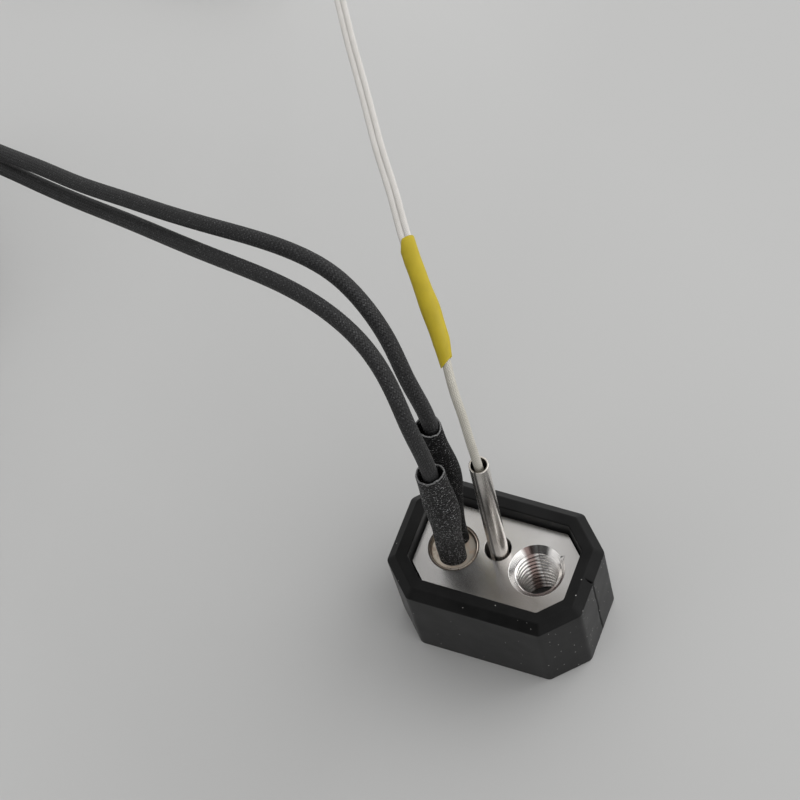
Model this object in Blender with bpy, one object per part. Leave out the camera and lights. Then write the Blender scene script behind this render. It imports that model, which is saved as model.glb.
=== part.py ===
"""Heater end of a printer's hotend: block, silicone sock, heater cartridge and tube sensor with leads.

Metres, +Z up. The origin is the middle of the sock's underside, X runs along the block.
"""
import math

import bmesh
import bpy
import numpy as np
from mathutils import Vector

MM = 0.001
FIT_GAP = 0.2 * MM  # between pieces that sit in each other
SEAT_GAP = 0.3 * MM  # between pieces that meet end to end
CUT_PAST = 1.0 * MM  # how far a cutter runs past the face it opens

# Heater block
BLOCK_LENGTH = 19.5 * MM
BLOCK_WIDTH = 11.3 * MM
BLOCK_HEIGHT = 11.3 * MM
BLOCK_CORNER = 2.45 * MM  # leg of each cut corner
BLOCK_EDGE = 0.15 * MM  # chamfer round the top and bottom faces

# Silicone sock
SOCK_WALL = 2.45 * MM
SOCK_FLOOR = 1.5 * MM
SOCK_RISE = 1.9 * MM  # rim above the block's top face
RIM_CHAMFER = 1.1 * MM
FOOT_CHAMFER = 0.25 * MM
NOZZLE_OPENING = 8.6 * MM

# M6 hole for the heat break and the nozzle
THREAD_X = 5.2 * MM
THREAD_MAJOR = 6.0 * MM
THREAD_MINOR = 5.0 * MM
THREAD_PITCH = 1.0 * MM
THREAD_CREST = 0.2 * MM
COUNTERSINK = 6.8 * MM
NOZZLE_COUNTERSINK = 6.2 * MM

# Heater cartridge
HEATER_X = -5.45 * MM
HEATER_Y = 0.0 * MM
HEATER_DIAMETER = 6.0 * MM
HEATER_LENGTH = 11.0 * MM
HEATER_CLEARANCE = 0.1 * MM  # all round in its bore
SHEATH_WALL = 0.3 * MM
SHEATH_FLOOR = 0.4 * MM
CORE_DIAMETER = 3.8 * MM
CORE_LENGTH = 7.6 * MM
WINDING_WIRE = 0.3 * MM
WINDING_TURNS = 7
SEAL_DEPTH = 0.45 * MM  # seal's face below the sheath's rim
SEAL_THICKNESS = 1.6 * MM
PIN_DIAMETER = 0.7 * MM
PIN_OFFSET = 1.2 * MM  # of each pin from the cartridge's axis
PIN_HOLE = 1.0 * MM
PIN_SEAT = 1.3 * MM  # depth of the pin holes in the core
PAIR_ANGLE = math.radians(-70)  # direction from the cartridge's axis to its front pin
CRIMP_DIAMETER = 2.0 * MM
CRIMP_BORE = 0.95 * MM
SLEEVE_WALL = 0.3 * MM

# Temperature sensor
SENSOR_X = -0.25 * MM
SENSOR_Y = 1.4 * MM
SENSOR_BORE = 3.2 * MM
SENSOR_BORE_DEPTH = 9.0 * MM
SENSOR_BORE_CHAMFER = 0.25 * MM
TUBE_DIAMETER = 2.3 * MM
TUBE_WALL = 0.2 * MM
TUBE_RISE = 31.1 * MM
TUBE_LEAN_X = 0.27 * MM  # tube's open end from its foot
TUBE_LEAN_Y = 0.66 * MM
TUBE_FOOT = Vector((0.15, -0.35, 0.5)) * MM  # tube's foot from the bore's bottom centre
BEAD_DIAMETER = 1.1 * MM
BEAD_LENGTH = 1.6 * MM
LEG_DIAMETER = 0.2 * MM
LEG_OFFSET = 0.16 * MM
SENSOR_SLEEVE_DIAMETER = 1.05 * MM
SENSOR_SLEEVE_WALL = 0.15 * MM
POTTING_LENGTH = 3.0 * MM
WIRE_DIAMETER = 0.85 * MM
WIRE_GAP = 0.02 * MM  # between the two wires, and between turns
SHRINK_WALL = 0.09 * MM
SHRINK_BUMP = 0.12 * MM  # how far the splices swell it
SHRINK_ROOM = 0.05 * MM  # between what the heat-shrink grips and its inside
SPLICE_DIAMETER = 0.55 * MM
SPLICE_LENGTH = 4.0 * MM

# Grub screws
GRUB_DIAMETER = 2.84 * MM
GRUB_CLEARANCE = 0.08 * MM
GRUB_RECESS = 0.35 * MM  # screw's outer end below the block's side
GRUB_TOUCH = 0.1 * MM  # screw's tip from what it clamps
GRUB_HEIGHT = 5.6 * MM  # above the block's underside
HEX_ACROSS_CORNERS = 1.73 * MM
HEX_DEPTH = 1.1 * MM

# Leads and their far ends
LEAD_DIAMETER = 1.9 * MM
LEAD_GAP = 0.04 * MM  # between turns
LEAD_COIL_RADIUS = 11.1 * MM  # at the middle of its turns
WIRE_COIL_RADIUS = 5.1 * MM
COLLAR_DIAMETER = 3.0 * MM
COLLAR_LENGTH = 5.5 * MM
COLLAR_OVERLAP = 4.0 * MM  # how much of the collar the lead fills
COLLAR_TAPER = 1.2 * MM
COLLAR_BORE = 2.15 * MM
COLLAR_NECK = 1.7 * MM
BARREL_DIAMETER = 1.5 * MM
BARREL_LENGTH = 8.0 * MM
CONNECTOR_SIZE = Vector((11.0, 7.5, 5.8)) * MM
CONNECTOR_PITCH = 2.5 * MM
TERMINAL_SIZE = 1.5 * MM
TERMINAL_LENGTH = 6.5 * MM
TIE_WIDTH = 2.5 * MM
TIE_THICKNESS = 0.25 * MM
TIE_GAP = 0.1 * MM

# Places that follow from the sizes above
BLOCK_BOTTOM = SOCK_FLOOR + FIT_GAP
BLOCK_TOP = BLOCK_BOTTOM + BLOCK_HEIGHT
SOCK_HEIGHT = BLOCK_TOP + SOCK_RISE
SEAL_TOP = BLOCK_TOP - SEAL_DEPTH
CORE_TOP = SEAL_TOP - SEAL_THICKNESS - SEAT_GAP
SLEEVE_FOOT = SEAL_TOP + 0.1 * MM
PAIR = Vector((math.cos(PAIR_ANGLE), math.sin(PAIR_ANGLE), 0))
ACROSS = Vector((-PAIR.y, PAIR.x, 0))
HEATER_AXIS = Vector((HEATER_X, HEATER_Y, 0))
SENSOR_SEAT = Vector((SENSOR_X, SENSOR_Y, BLOCK_TOP - SENSOR_BORE_DEPTH))
TUBE_LOW = SENSOR_SEAT + TUBE_FOOT
TUBE_LINE = Vector((TUBE_LEAN_X, TUBE_LEAN_Y, TUBE_RISE))


class Coil:
    """Spare cord wound in flat spirals: inwards on the top layer, outwards on the next, and so on."""

    def __init__(self, centre, diameter, spacing, layers, layer_turns, mean_radius, start_degrees):
        self.centre = Vector((centre[0], centre[1], 0)) * MM
        self.radius = diameter / 2
        half_width = layer_turns * spacing / 2
        self.inner = mean_radius - half_width
        self.outer = mean_radius + half_width
        self.bottom = TIE_THICKNESS + TIE_GAP
        self.top = self.bottom + 2 * layers * spacing
        self.start = math.radians(start_degrees)
        self.end = self.start + 2 * math.pi * layers * layer_turns
        self.solid_inner = self.inner - self.radius
        self.solid_outer = self.outer + self.radius


LEAD_COIL = Coil((-100, 17.6), LEAD_DIAMETER, LEAD_DIAMETER + LEAD_GAP, 2, 6.125, LEAD_COIL_RADIUS, 90)
WIRE_COIL = Coil((-73.0, 87.0), WIRE_DIAMETER, WIRE_DIAMETER + WIRE_GAP, 4, 7.06, WIRE_COIL_RADIUS, 44.0)
ROUTE_STEP = 0.05 * MM  # between the points worked out on a route

# Routes, as chosen points in millimetres. Each ends where its cord meets its coil.
LEAD_ROUTE_FRONT = [
    (-4.8, -1.0, 29.5), (-4.9, -0.85, 33), (-5.0, -0.7, 36.5), (-5.4, -0.6, 41), (-6.4, 0.0, 45.6),
    (-8.6, 2.2, 49.1), (-12.0, 4.8, 51.5), (-16.5, 7.0, 52.7), (-22.0, 8.9, 52.6),
    (-28.0, 10.5, 51.4), (-34.5, 12.3, 49.0), (-41.6, 14.6, 45.8), (-49.3, 17.4, 41.7),
    (-57.5, 20.4, 37.0), (-66.2, 23.75, 32.0), (-75.0, 27.4, 26.6), (-82.2, 30.6, 20.3),
    (-88.3, 32.9, 14.2), (-94.1, 34.25, 9.0), (-100, 34.64, 5.2),
]
LEAD_ROUTE_REAR = [
    (-5.7, 3.0, 29.5), (-6.0, 3.6, 33), (-6.5, 4.3, 37), (-7.2, 4.7, 41.2), (-8.5, 5.4, 45.4),
    (-10.8, 7.5, 48.9), (-14.2, 9.9, 51.4), (-18.5, 12.0, 52.8), (-23.7, 13.4, 52.9),
    (-29.5, 14.4, 51.9), (-35.7, 15.4, 50.1), (-42.3, 16.8, 47.6), (-49.5, 18.8, 44.3),
    (-57.3, 21.3, 40.0), (-65.9, 24.7, 34.8), (-75.4, 28.55, 28.6), (-82.4, 31.8, 22.9),
    (-88.3, 33.6, 17.1), (-94.1, 34.45, 11.8), (-100, 34.64, 7.14),
]
LEAD_TAIL_FRONT = [
    (-117.04, 17.6, 1.32), (-117.0, 14.0, 1.32), (-116.7, 10.4, 1.38), (-115.8, 7.0, 1.5),
    (-114.7, 3.6, 1.6), (-113.9, 0.4, 1.6),
]
LEAD_TAIL_REAR = [
    (-117.04, 17.6, 3.26), (-117.5, 14.0, 3.2), (-118.2, 10.4, 2.75), (-118.4, 7.0, 1.95),
    (-118.0, 3.6, 1.6), (-117.4, 0.4, 1.6),
]
SENSOR_ROUTE = [
    (-0.07, 1.12, 7.6), (0.03, 1.36, 19), (0.12, 1.57, 29), (0.1, 1.69, 35), (-0.28, 2.05, 40.6),
    (-1.15, 3.2, 45), (-2.48, 4.9, 47.7), (-4.35, 7.94, 49.8), (-7.0, 11.6, 50.9), (-10.2, 15.7, 51.0),
    (-13.7, 20.4, 50.0), (-17.4, 25.9, 48.0), (-21.8, 32.1, 45.0), (-26.4, 38.9, 41.0),
    (-31.5, 46.5, 36.2), (-37.0, 54.6, 30.9), (-42.8, 63.4, 25), (-48.34, 71.3, 19.5),
    (-54.26, 78.7, 14.3), (-60.52, 85.8, 9.75), (-67.12, 92.68, 6.44),
]
WIRE_TAIL = [
    (-78.3, 93.22, 1.22), (-81.14, 90.79, 1.35), (-83.77, 88.55, 1.9), (-86.22, 86.44, 2.6),
    (-88.15, 84.79, 2.92), (-90.08, 83.13, 2.95),
]
SLEEVE_REACH = (0.0, 47.0)  # cream sleeve along the sensor's route, mm
SHRINK_REACH = (43.9, 60.2)  # heat-shrink along the same route, mm
TWIST_REACH = (122.0, 150.0)  # where the two wires turn from side by side to one above the other, mm

# Stations up each black sleeve: height above its foot, shift of its middle across and along the
# pair's direction, half its width across, half its width along. Millimetres.
SLEEVE_FRONT = [
    (0, -0.05, 1.2, 1.6, 1.05), (4, 0.05, 1.15, 1.62, 1.15), (8, 0.3, 1.2, 1.75, 1.35),
    (11.5, 0.5, 1.25, 2.0, 1.6), (14.5, 0.45, 1.2, 2.05, 1.68), (17.5, 0.3, 0.95, 1.85, 1.55),
    (20, 0.2, 0.85, 1.72, 1.45), (22.4, 0.2, 0.8, 1.75, 1.45),
]
SLEEVE_REAR = [
    (0, 0.25, -1.2, 1.65, 1.05), (4, 0.3, -1.45, 1.65, 1.15), (8, 0.45, -1.95, 1.7, 1.3),
    (11.5, 0.65, -2.4, 1.85, 1.45), (14.5, 0.85, -2.75, 1.95, 1.6), (17.5, 0.85, -3.1, 1.85, 1.55),
    (20.5, 0.55, -3.55, 1.7, 1.48), (24.2, 0.2, -4.3, 1.62, 1.5),
]
CRIMP_SPAN = (11.0, 16.5)  # heights of the crimps above the sleeves' feet, mm


def clear_scene():
    for old in list(bpy.data.objects):
        bpy.data.objects.remove(old, do_unlink=True)


def finish(name, color, roughness, metallic=0.0):
    material = bpy.data.materials.new(name)
    material.use_nodes = True
    shader = material.node_tree.nodes["Principled BSDF"]
    shader.inputs["Base Color"].default_value = (*color, 1)
    shader.inputs["Roughness"].default_value = roughness
    shader.inputs["Metallic"].default_value = metallic
    return material


def add(name, data, material=None, parent=None, location=(0, 0, 0)):
    piece = bpy.data.objects.new(name, data)
    bpy.context.scene.collection.objects.link(piece)
    piece.location = location
    piece.parent = parent
    if material:
        piece.data.materials.append(material)
    return piece


def axis_empty(name, place, direction=(0, 0, 1)):
    """An empty on a moving body's axis, its own Z along the direction."""
    empty = add(name, None, location=place)
    empty.rotation_euler = Vector(direction).to_track_quat("Z", "Y").to_euler()
    return empty


def mesh_from(name, bm):
    mesh = bpy.data.meshes.new(name)
    bmesh.ops.recalc_face_normals(bm, faces=bm.faces)
    bm.to_mesh(mesh)
    bm.free()
    return mesh


def loft(name, rings, material, ring_shaped=False, **place):
    """A solid skinned over rings of points; ring_shaped joins its last ring to its first."""
    bm = bmesh.new()
    rows = [[bm.verts.new(point) for point in ring] for ring in rings]
    pairs = list(zip(rows, rows[1:]))
    if ring_shaped:
        pairs.append((rows[-1], rows[0]))
    for low, high in pairs:
        for k in range(len(low)):
            bm.faces.new((low[k - 1], low[k], high[k], high[k - 1]))
    if not ring_shaped:
        bm.faces.new(rows[0])
        bm.faces.new(rows[-1])
    return add(name, mesh_from(name, bm), material, **place)


def turned(name, profile, material=None, sides=24, ring_shaped=False, **place):
    """A turned solid: (radius, height) points that run down its outer side, spun about its own Z."""
    mesh = bpy.data.meshes.new(name)
    edges = [(k, k + 1) for k in range(len(profile) - 1)]
    if ring_shaped:
        edges.append((len(profile) - 1, 0))
    mesh.from_pydata([(radius, 0, height) for radius, height in profile], edges, [])
    piece = add(name, mesh, material, **place)
    spin = piece.modifiers.new("turn", "SCREW")
    spin.steps = sides
    spin.render_steps = sides
    spin.use_merge_vertices = True
    spin.merge_threshold = 0.001 * MM
    spin.use_smooth_shade = True
    return piece


def rod(name, radius, low, high, material=None, sides=24, **place):
    profile = [(0, high), (radius, high), (radius, low), (0, low)]
    return turned(name, profile, material, sides, **place)


def tube(name, points, radius, material, resolution=2):
    """A round cord through the points, with closed ends."""
    curve = bpy.data.curves.new(name, "CURVE")
    curve.dimensions = "3D"
    curve.bevel_depth = radius
    curve.bevel_resolution = resolution
    curve.use_fill_caps = True
    spline = curve.splines.new("POLY")
    spline.points.add(len(points) - 1)
    for spot, point in zip(spline.points, points):
        spot.co = (*point, 1)
    return add(name, curve, material)


def cut(piece, *cutters):
    for cutter in cutters:
        cutter.hide_render = True
        cutter.display_type = "WIRE"
        boolean = piece.modifiers.new(cutter.name, "BOOLEAN")
        boolean.operation = "DIFFERENCE"
        boolean.solver = "EXACT"
        boolean.object = cutter


def octagon(grow, height):
    """The block's eight-cornered outline, moved outwards by grow, at a height."""
    x = BLOCK_LENGTH / 2 + grow
    y = BLOCK_WIDTH / 2 + grow
    leg = BLOCK_CORNER + grow * (2 - math.sqrt(2))
    corners = [(x, y - leg), (x - leg, y), (leg - x, y), (-x, y - leg),
               (-x, leg - y), (leg - x, -y), (x - leg, -y), (x, leg - y)]
    return [(cx, cy, height) for cx, cy in corners]


def smooth_line(points, step):
    """Points a step apart on the natural cubic spline through the given points."""
    points = np.array(points, float) * MM
    gaps = np.linalg.norm(np.diff(points, axis=0), axis=1)
    knots = np.concatenate([[0], np.cumsum(gaps)])
    system = np.eye(len(points))
    right = np.zeros_like(points)
    slopes = np.diff(points, axis=0) / gaps[:, None]
    for k in range(1, len(points) - 1):
        system[k, k - 1:k + 2] = gaps[k - 1], 2 * (gaps[k - 1] + gaps[k]), gaps[k]
        right[k] = 6 * (slopes[k] - slopes[k - 1])
    bend = np.linalg.solve(system, right)
    at = np.linspace(0, knots[-1], round(knots[-1] / step) + 1)
    k = np.clip(np.searchsorted(knots, at, side="right") - 1, 0, len(gaps) - 1)
    before = (at - knots[k])[:, None]
    after = (knots[k + 1] - at)[:, None]
    span = gaps[k][:, None]
    curve = (bend[k] * after**3 + bend[k + 1] * before**3) / (6 * span)
    curve += (points[k] / span - bend[k] * span / 6) * after
    return curve + (points[k + 1] / span - bend[k + 1] * span / 6) * before


def lengths_along(line):
    return np.concatenate([[0], np.cumsum(np.linalg.norm(np.diff(line, axis=0), axis=1))])


def thinned(line, step):
    """The line's points about a step apart, its two ends kept."""
    count = max(2, round(lengths_along(line)[-1] / step) + 1)
    return line[np.linspace(0, len(line) - 1, count).round().astype(int)]


def between(line, reach):
    along = lengths_along(line)
    return line[(along >= reach[0] * MM) & (along <= reach[1] * MM)]


def clear_of(line, coil):
    """The part of a cord's line that lies outside its coil's solid, a seat's gap away from it."""
    beside = np.hypot(line[:, 0] - coil.centre.x, line[:, 1] - coil.centre.y) - coil.solid_outer
    above = line[:, 2] - coil.top
    away = np.hypot(np.maximum(beside, 0), np.maximum(above, 0))
    return line[away >= coil.radius + SEAT_GAP]


def side_frames(line):
    """At each point of a line, its direction, the level direction to its right, and up."""
    ahead = np.gradient(line, axis=0)
    ahead /= np.linalg.norm(ahead, axis=1)[:, None]
    across = np.cross(ahead, (0, 0, 1))
    across /= np.linalg.norm(across, axis=1)[:, None]
    return ahead, across, np.cross(across, ahead)


def eased(value, low, high):
    share = np.clip((value - low) / (high - low), 0, 1)
    return share * share * (3 - 2 * share)


def twin_line(line, side, spread, turn):
    """One of two lines beside a middle line: spread is half their distance, turn tips them upright."""
    _, across, up = side_frames(line)
    way = across * np.cos(turn)[:, None] + up * np.sin(turn)[:, None]
    return line + side * np.reshape(spread, (-1, 1)) * way


def make_sock(silicone):
    inside = FIT_GAP
    outside = FIT_GAP + SOCK_WALL
    rings = [
        octagon(outside - FOOT_CHAMFER, 0), octagon(outside, FOOT_CHAMFER),
        octagon(outside, SOCK_HEIGHT - RIM_CHAMFER), octagon(outside - RIM_CHAMFER, SOCK_HEIGHT),
        octagon(inside, SOCK_HEIGHT), octagon(inside, SOCK_FLOOR),
    ]
    sock = loft("silicone_sock", rings, silicone)
    opening = rod("nozzle_opening_cutter", NOZZLE_OPENING / 2, -CUT_PAST, SOCK_FLOOR + CUT_PAST, sides=32,
                  location=(THREAD_X, 0, 0))
    cut(sock, opening)


def thread_profile():
    """The M6 hole's outline, top to bottom, with a ring of thread at each pitch."""
    major, minor = THREAD_MAJOR / 2, THREAD_MINOR / 2
    mouth, foot = COUNTERSINK / 2, NOZZLE_COUNTERSINK / 2
    outline = [(0, BLOCK_TOP + CUT_PAST), (mouth, BLOCK_TOP + CUT_PAST), (mouth, BLOCK_TOP)]
    height = BLOCK_TOP - (mouth - minor)
    flank = (THREAD_PITCH - THREAD_CREST) / 2
    while height - THREAD_PITCH > BLOCK_BOTTOM + foot - minor:
        outline += [(minor, height), (minor, height - THREAD_CREST), (major, height - THREAD_CREST - flank)]
        height -= THREAD_PITCH
    outline += [(minor, height), (minor, BLOCK_BOTTOM + foot - minor), (foot, BLOCK_BOTTOM)]
    return outline + [(foot, BLOCK_BOTTOM - CUT_PAST), (0, BLOCK_BOTTOM - CUT_PAST)]


def make_block(metal):
    rings = [octagon(-BLOCK_EDGE, BLOCK_BOTTOM), octagon(0, BLOCK_BOTTOM + BLOCK_EDGE),
             octagon(0, BLOCK_TOP - BLOCK_EDGE), octagon(-BLOCK_EDGE, BLOCK_TOP)]
    block = loft("heater_block", rings, metal)
    thread = turned("thread_cutter", thread_profile(), location=(THREAD_X, 0, 0))
    bore = rod("heater_bore_cutter", HEATER_DIAMETER / 2 + HEATER_CLEARANCE, BLOCK_BOTTOM - CUT_PAST,
               BLOCK_TOP + CUT_PAST, location=HEATER_AXIS)
    radius = SENSOR_BORE / 2
    mouth = radius + SENSOR_BORE_CHAMFER
    outline = [(0, BLOCK_TOP + CUT_PAST), (mouth, BLOCK_TOP + CUT_PAST), (mouth, BLOCK_TOP),
               (radius, BLOCK_TOP - SENSOR_BORE_CHAMFER), (radius, SENSOR_SEAT.z), (0, SENSOR_SEAT.z)]
    sensor_bore = turned("sensor_bore_cutter", outline, sides=20, location=(SENSOR_X, SENSOR_Y, 0))
    cut(block, thread, bore, sensor_bore)
    return block


def make_grub(name, x, tip_y, side, steel, block):
    """A grub screw on a level axis: side is -1 for the front wall and 1 for the back wall."""
    head_y = side * (BLOCK_WIDTH / 2 - GRUB_RECESS)
    height = BLOCK_BOTTOM + GRUB_HEIGHT
    axis = axis_empty(f"{name}_axis", (x, head_y, height), (0, side, 0))
    length = abs(head_y - tip_y)
    radius = GRUB_DIAMETER / 2
    edge = radius * 0.15
    outline = [(0, 0), (radius - edge, 0), (radius, -edge), (radius, radius * 0.5 - length),
               (radius * 0.5, -length), (0, -length)]
    screw = turned(name, outline, steel, sides=16, parent=axis)
    socket = HEX_ACROSS_CORNERS / 2
    cut(screw, rod(f"{name}_hex_cutter", socket, -HEX_DEPTH, CUT_PAST, sides=6, parent=axis))
    hole = rod(f"{name}_hole_cutter", radius + GRUB_CLEARANCE, -length - CUT_PAST, GRUB_RECESS + CUT_PAST,
               sides=16, parent=axis)
    cut(block, hole)


def pin_place(side):
    """Where a heater pin crosses the cartridge's face; side is 1 for the front pin, -1 for the rear."""
    return HEATER_AXIS + PAIR * (side * PIN_OFFSET)


def sleeve_middle(station):
    height, across, along = (value * MM for value in station[:3])
    return HEATER_AXIS + ACROSS * across + PAIR * along + Vector((0, 0, SLEEVE_FOOT + height))


def sleeve_ring(station, shrink, sides):
    """An oval ring of points round one station of a sleeve, its half widths less shrink."""
    wide, deep = station[3] * MM - shrink, station[4] * MM - shrink
    middle = sleeve_middle(station)
    angles = [2 * math.pi * k / sides for k in range(sides)]
    return [middle + ACROSS * (wide * math.cos(a)) + PAIR * (deep * math.sin(a)) for a in angles]


def middle_at(stations, height):
    """The middle of a sleeve at a height in millimetres, between its stations."""
    heights = [station[0] for station in stations]
    mixed = [np.interp(height, heights, [station[k] for station in stations]) for k in range(3)]
    return sleeve_middle(mixed)


def make_heater(metal, ceramic, wire_metal, tin, glass_fibre):
    axis = axis_empty("heater_axis", HEATER_AXIS)
    radius = HEATER_DIAMETER / 2
    low = BLOCK_TOP - HEATER_LENGTH
    inner = radius - SHEATH_WALL
    floor = low + SHEATH_FLOOR
    sheath = [(0, floor), (inner, floor), (inner, BLOCK_TOP), (radius - 0.5 * SHEATH_WALL, BLOCK_TOP),
              (radius, BLOCK_TOP - 0.5 * SHEATH_WALL), (radius, low), (0, low)]
    turned("heater_sheath", sheath, metal, parent=axis)
    core = rod("heater_core", CORE_DIAMETER / 2, CORE_TOP - CORE_LENGTH, CORE_TOP, ceramic, parent=axis)
    seal_radius = inner - 0.5 * FIT_GAP
    seal = rod("heater_end_seal", seal_radius, SEAL_TOP - SEAL_THICKNESS, SEAL_TOP, ceramic, parent=axis)

    coil_radius = CORE_DIAMETER / 2 + SEAT_GAP + WINDING_WIRE / 2
    rise = CORE_LENGTH - 4 * WINDING_WIRE
    points = []
    for k in range(WINDING_TURNS * 12 + 1):
        turn = 2 * math.pi * k / 12
        height = CORE_TOP - CORE_LENGTH + 2 * WINDING_WIRE + rise * k / (WINDING_TURNS * 12)
        spot = Vector((coil_radius * math.cos(turn), coil_radius * math.sin(turn), height))
        points.append(HEATER_AXIS + spot)
    tube("heater_winding", points, WINDING_WIRE / 2, wire_metal, resolution=0)

    for end, side, stations in (("front", 1, SLEEVE_FRONT), ("rear", -1, SLEEVE_REAR)):
        hole = rod(f"pin_hole_cutter_{end}", PIN_HOLE / 2, CORE_TOP - PIN_SEAT, SEAL_TOP + CUT_PAST,
                   sides=12, location=pin_place(side))
        cut(seal, hole)
        cut(core, hole)
        foot = pin_place(side)
        pin_line = [foot + Vector((0, 0, CORE_TOP - PIN_SEAT + FIT_GAP)), foot + Vector((0, 0, SLEEVE_FOOT))]
        heights = (5.0, 8.5, CRIMP_SPAN[0], CRIMP_SPAN[0] + 2.5)
        pin_line += [middle_at(stations, height) for height in heights]
        tube(f"heater_pin_{end}", pin_line, PIN_DIAMETER / 2, tin, resolution=1)

        rings = []
        for bore, heights in ((CRIMP_DIAMETER, CRIMP_SPAN), (CRIMP_BORE, CRIMP_SPAN[::-1])):
            for height in heights:
                middle = middle_at(stations, height)
                angles = (2 * math.pi * k / 12 for k in range(12))
                rings.append([middle + Vector((math.cos(a), math.sin(a), 0)) * (bore / 2) for a in angles])
        loft(f"crimp_{end}", rings, tin, ring_shaped=True)

        outside = [sleeve_ring(station, 0, 16) for station in stations]
        inside = [sleeve_ring(station, SLEEVE_WALL, 16) for station in reversed(stations)]
        loft(f"sleeve_{end}", outside + inside, glass_fibre, ring_shaped=True)


def make_sensor(metal, ceramic, wire_metal, tin, cream, yellow, white):
    axis = axis_empty("sensor_axis", TUBE_LOW, TUBE_LINE)
    radius = TUBE_DIAMETER / 2
    inner = radius - TUBE_WALL
    length = TUBE_LINE.length
    shell = [(0, TUBE_WALL), (0.6 * inner, TUBE_WALL), (inner, 2 * TUBE_WALL), (inner, length),
             (radius, length), (radius, 2 * TUBE_WALL), (0.6 * radius, 0), (0, 0)]
    turned("sensor_tube", shell, metal, sides=20, parent=axis)
    bead_low = TUBE_WALL + SEAT_GAP
    bead_high = bead_low + BEAD_LENGTH
    bead = BEAD_DIAMETER / 2
    outline = [(0, bead_high), (0.7 * bead, bead_high), (bead, bead_high - 0.3 * bead),
               (bead, bead_low + 0.3 * bead), (0.7 * bead, bead_low), (0, bead_low)]
    turned("sensor_bead", outline, ceramic, sides=12, parent=axis)

    route = smooth_line(SENSOR_ROUTE, ROUTE_STEP)
    along = lengths_along(route)
    sleeve_radius = SENSOR_SLEEVE_DIAMETER / 2
    potting_low = bead_high + 1.4 * MM
    potting_bore = sleeve_radius + FIT_GAP * 0.5
    plug = [(inner - 0.4 * FIT_GAP, potting_low + POTTING_LENGTH), (inner - 0.4 * FIT_GAP, potting_low),
            (potting_bore, potting_low), (potting_bore, potting_low + POTTING_LENGTH)]
    turned("sensor_potting", plug, ceramic, sides=16, ring_shaped=True, parent=axis)

    fixed_across = np.array((0.83, 0.55, 0))
    leg_start = np.array(TUBE_LOW + TUBE_LINE.normalized() * (bead_high + 0.1 * MM))
    splice_start = (SHRINK_REACH[0] + 4.2) * MM
    splice_end = splice_start + SPLICE_LENGTH
    leg_line = thinned(between(route, (0.3, splice_start / MM - 0.1)), 2.6 * MM)
    for end, side in (("left", -1), ("right", 1)):
        offset = side * LEG_OFFSET * fixed_across
        leg = np.vstack([leg_start + offset, leg_line + offset])
        tube(f"sensor_leg_{end}", leg, LEG_DIAMETER / 2, wire_metal, resolution=1)

    sleeve = thinned(between(route, SLEEVE_REACH), 1.6 * MM)
    half_sizes = [(sleeve_radius, sleeve_radius)] * len(sleeve)
    make_pipe("sensor_sleeve", sleeve, half_sizes, SENSOR_SLEEVE_WALL, cream)
    shrink = thinned(between(route, SHRINK_REACH), 1.6 * MM)
    share = lengths_along(shrink) / lengths_along(shrink)[-1]
    bump = SHRINK_BUMP * np.exp(-((share - 0.4) / 0.12) ** 2)
    half_width = WIRE_DIAMETER + WIRE_GAP / 2 + SHRINK_ROOM + SHRINK_WALL + bump
    half_width -= SHRINK_BUMP * np.clip(1 - share / 0.15, 0, 1)
    half_height = sleeve_radius + SHRINK_ROOM + SHRINK_WALL
    make_pipe("heat_shrink", shrink, [(wide, half_height) for wide in half_width], SHRINK_WALL, yellow)

    spread = (WIRE_DIAMETER + WIRE_GAP) / 2
    upright = math.pi / 2 * eased(along, TWIST_REACH[0] * MM, TWIST_REACH[1] * MM)
    tail = smooth_line(WIRE_TAIL, ROUTE_STEP)
    tail_share = eased(lengths_along(tail), 0, 12 * MM)
    tail_spread = spread + (CONNECTOR_PITCH / 2 - spread) * tail_share
    for end, side in (("left", -1), ("right", 1)):
        wire = twin_line(route, side, np.full(len(route), spread), upright)
        splice = between(wire, (splice_start / MM, splice_end / MM))
        narrow = splice + side * (0.31 * MM - spread) * fixed_across
        tube(f"splice_{end}", thinned(narrow, 2 * MM), SPLICE_DIAMETER / 2, tin, resolution=2)
        visible = clear_of(wire[along > splice_end + 0.1 * MM], WIRE_COIL)
        tube(f"sensor_wire_{end}", thinned(visible, 2.8 * WIRE_DIAMETER), WIRE_DIAMETER / 2, white)
        end_line = clear_of(twin_line(tail, side, tail_spread, math.pi / 2 * (1 - tail_share)), WIRE_COIL)
        tube(f"wire_tail_{end}", thinned(end_line, 2.5 * WIRE_DIAMETER), WIRE_DIAMETER / 2, white)


def make_pipe(name, line, half_sizes, wall, material, sides=12):
    """A hollow pipe along a line, round or flat-sided: half its width and half its height at each point."""
    _, across, up = side_frames(line)
    angles = [2 * math.pi * (step + 0.5) / sides for step in range(sides)]
    rings = []
    for shrink, order in ((0, range(len(line))), (wall, reversed(range(len(line))))):
        for k in order:
            deep = half_sizes[k][1] - shrink
            flat = half_sizes[k][0] - half_sizes[k][1]
            rings.append([line[k] + across[k] * (deep * math.cos(a) + math.copysign(flat, math.cos(a)))
                          + up[k] * deep * math.sin(a) for a in angles])
    return loft(name, rings, material, ring_shaped=True)


def make_coil(name, coil, material, sides):
    edge = coil.radius
    outer, inner = coil.solid_outer, coil.solid_inner
    outline = [(outer - edge, coil.top), (outer, coil.top - edge), (outer, coil.bottom + edge),
               (outer - edge, coil.bottom), (inner + edge, coil.bottom), (inner, coil.bottom + edge),
               (inner, coil.top - edge), (inner + edge, coil.top)]
    turned(name, outline, material, sides=sides, ring_shaped=True, location=coil.centre)


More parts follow.
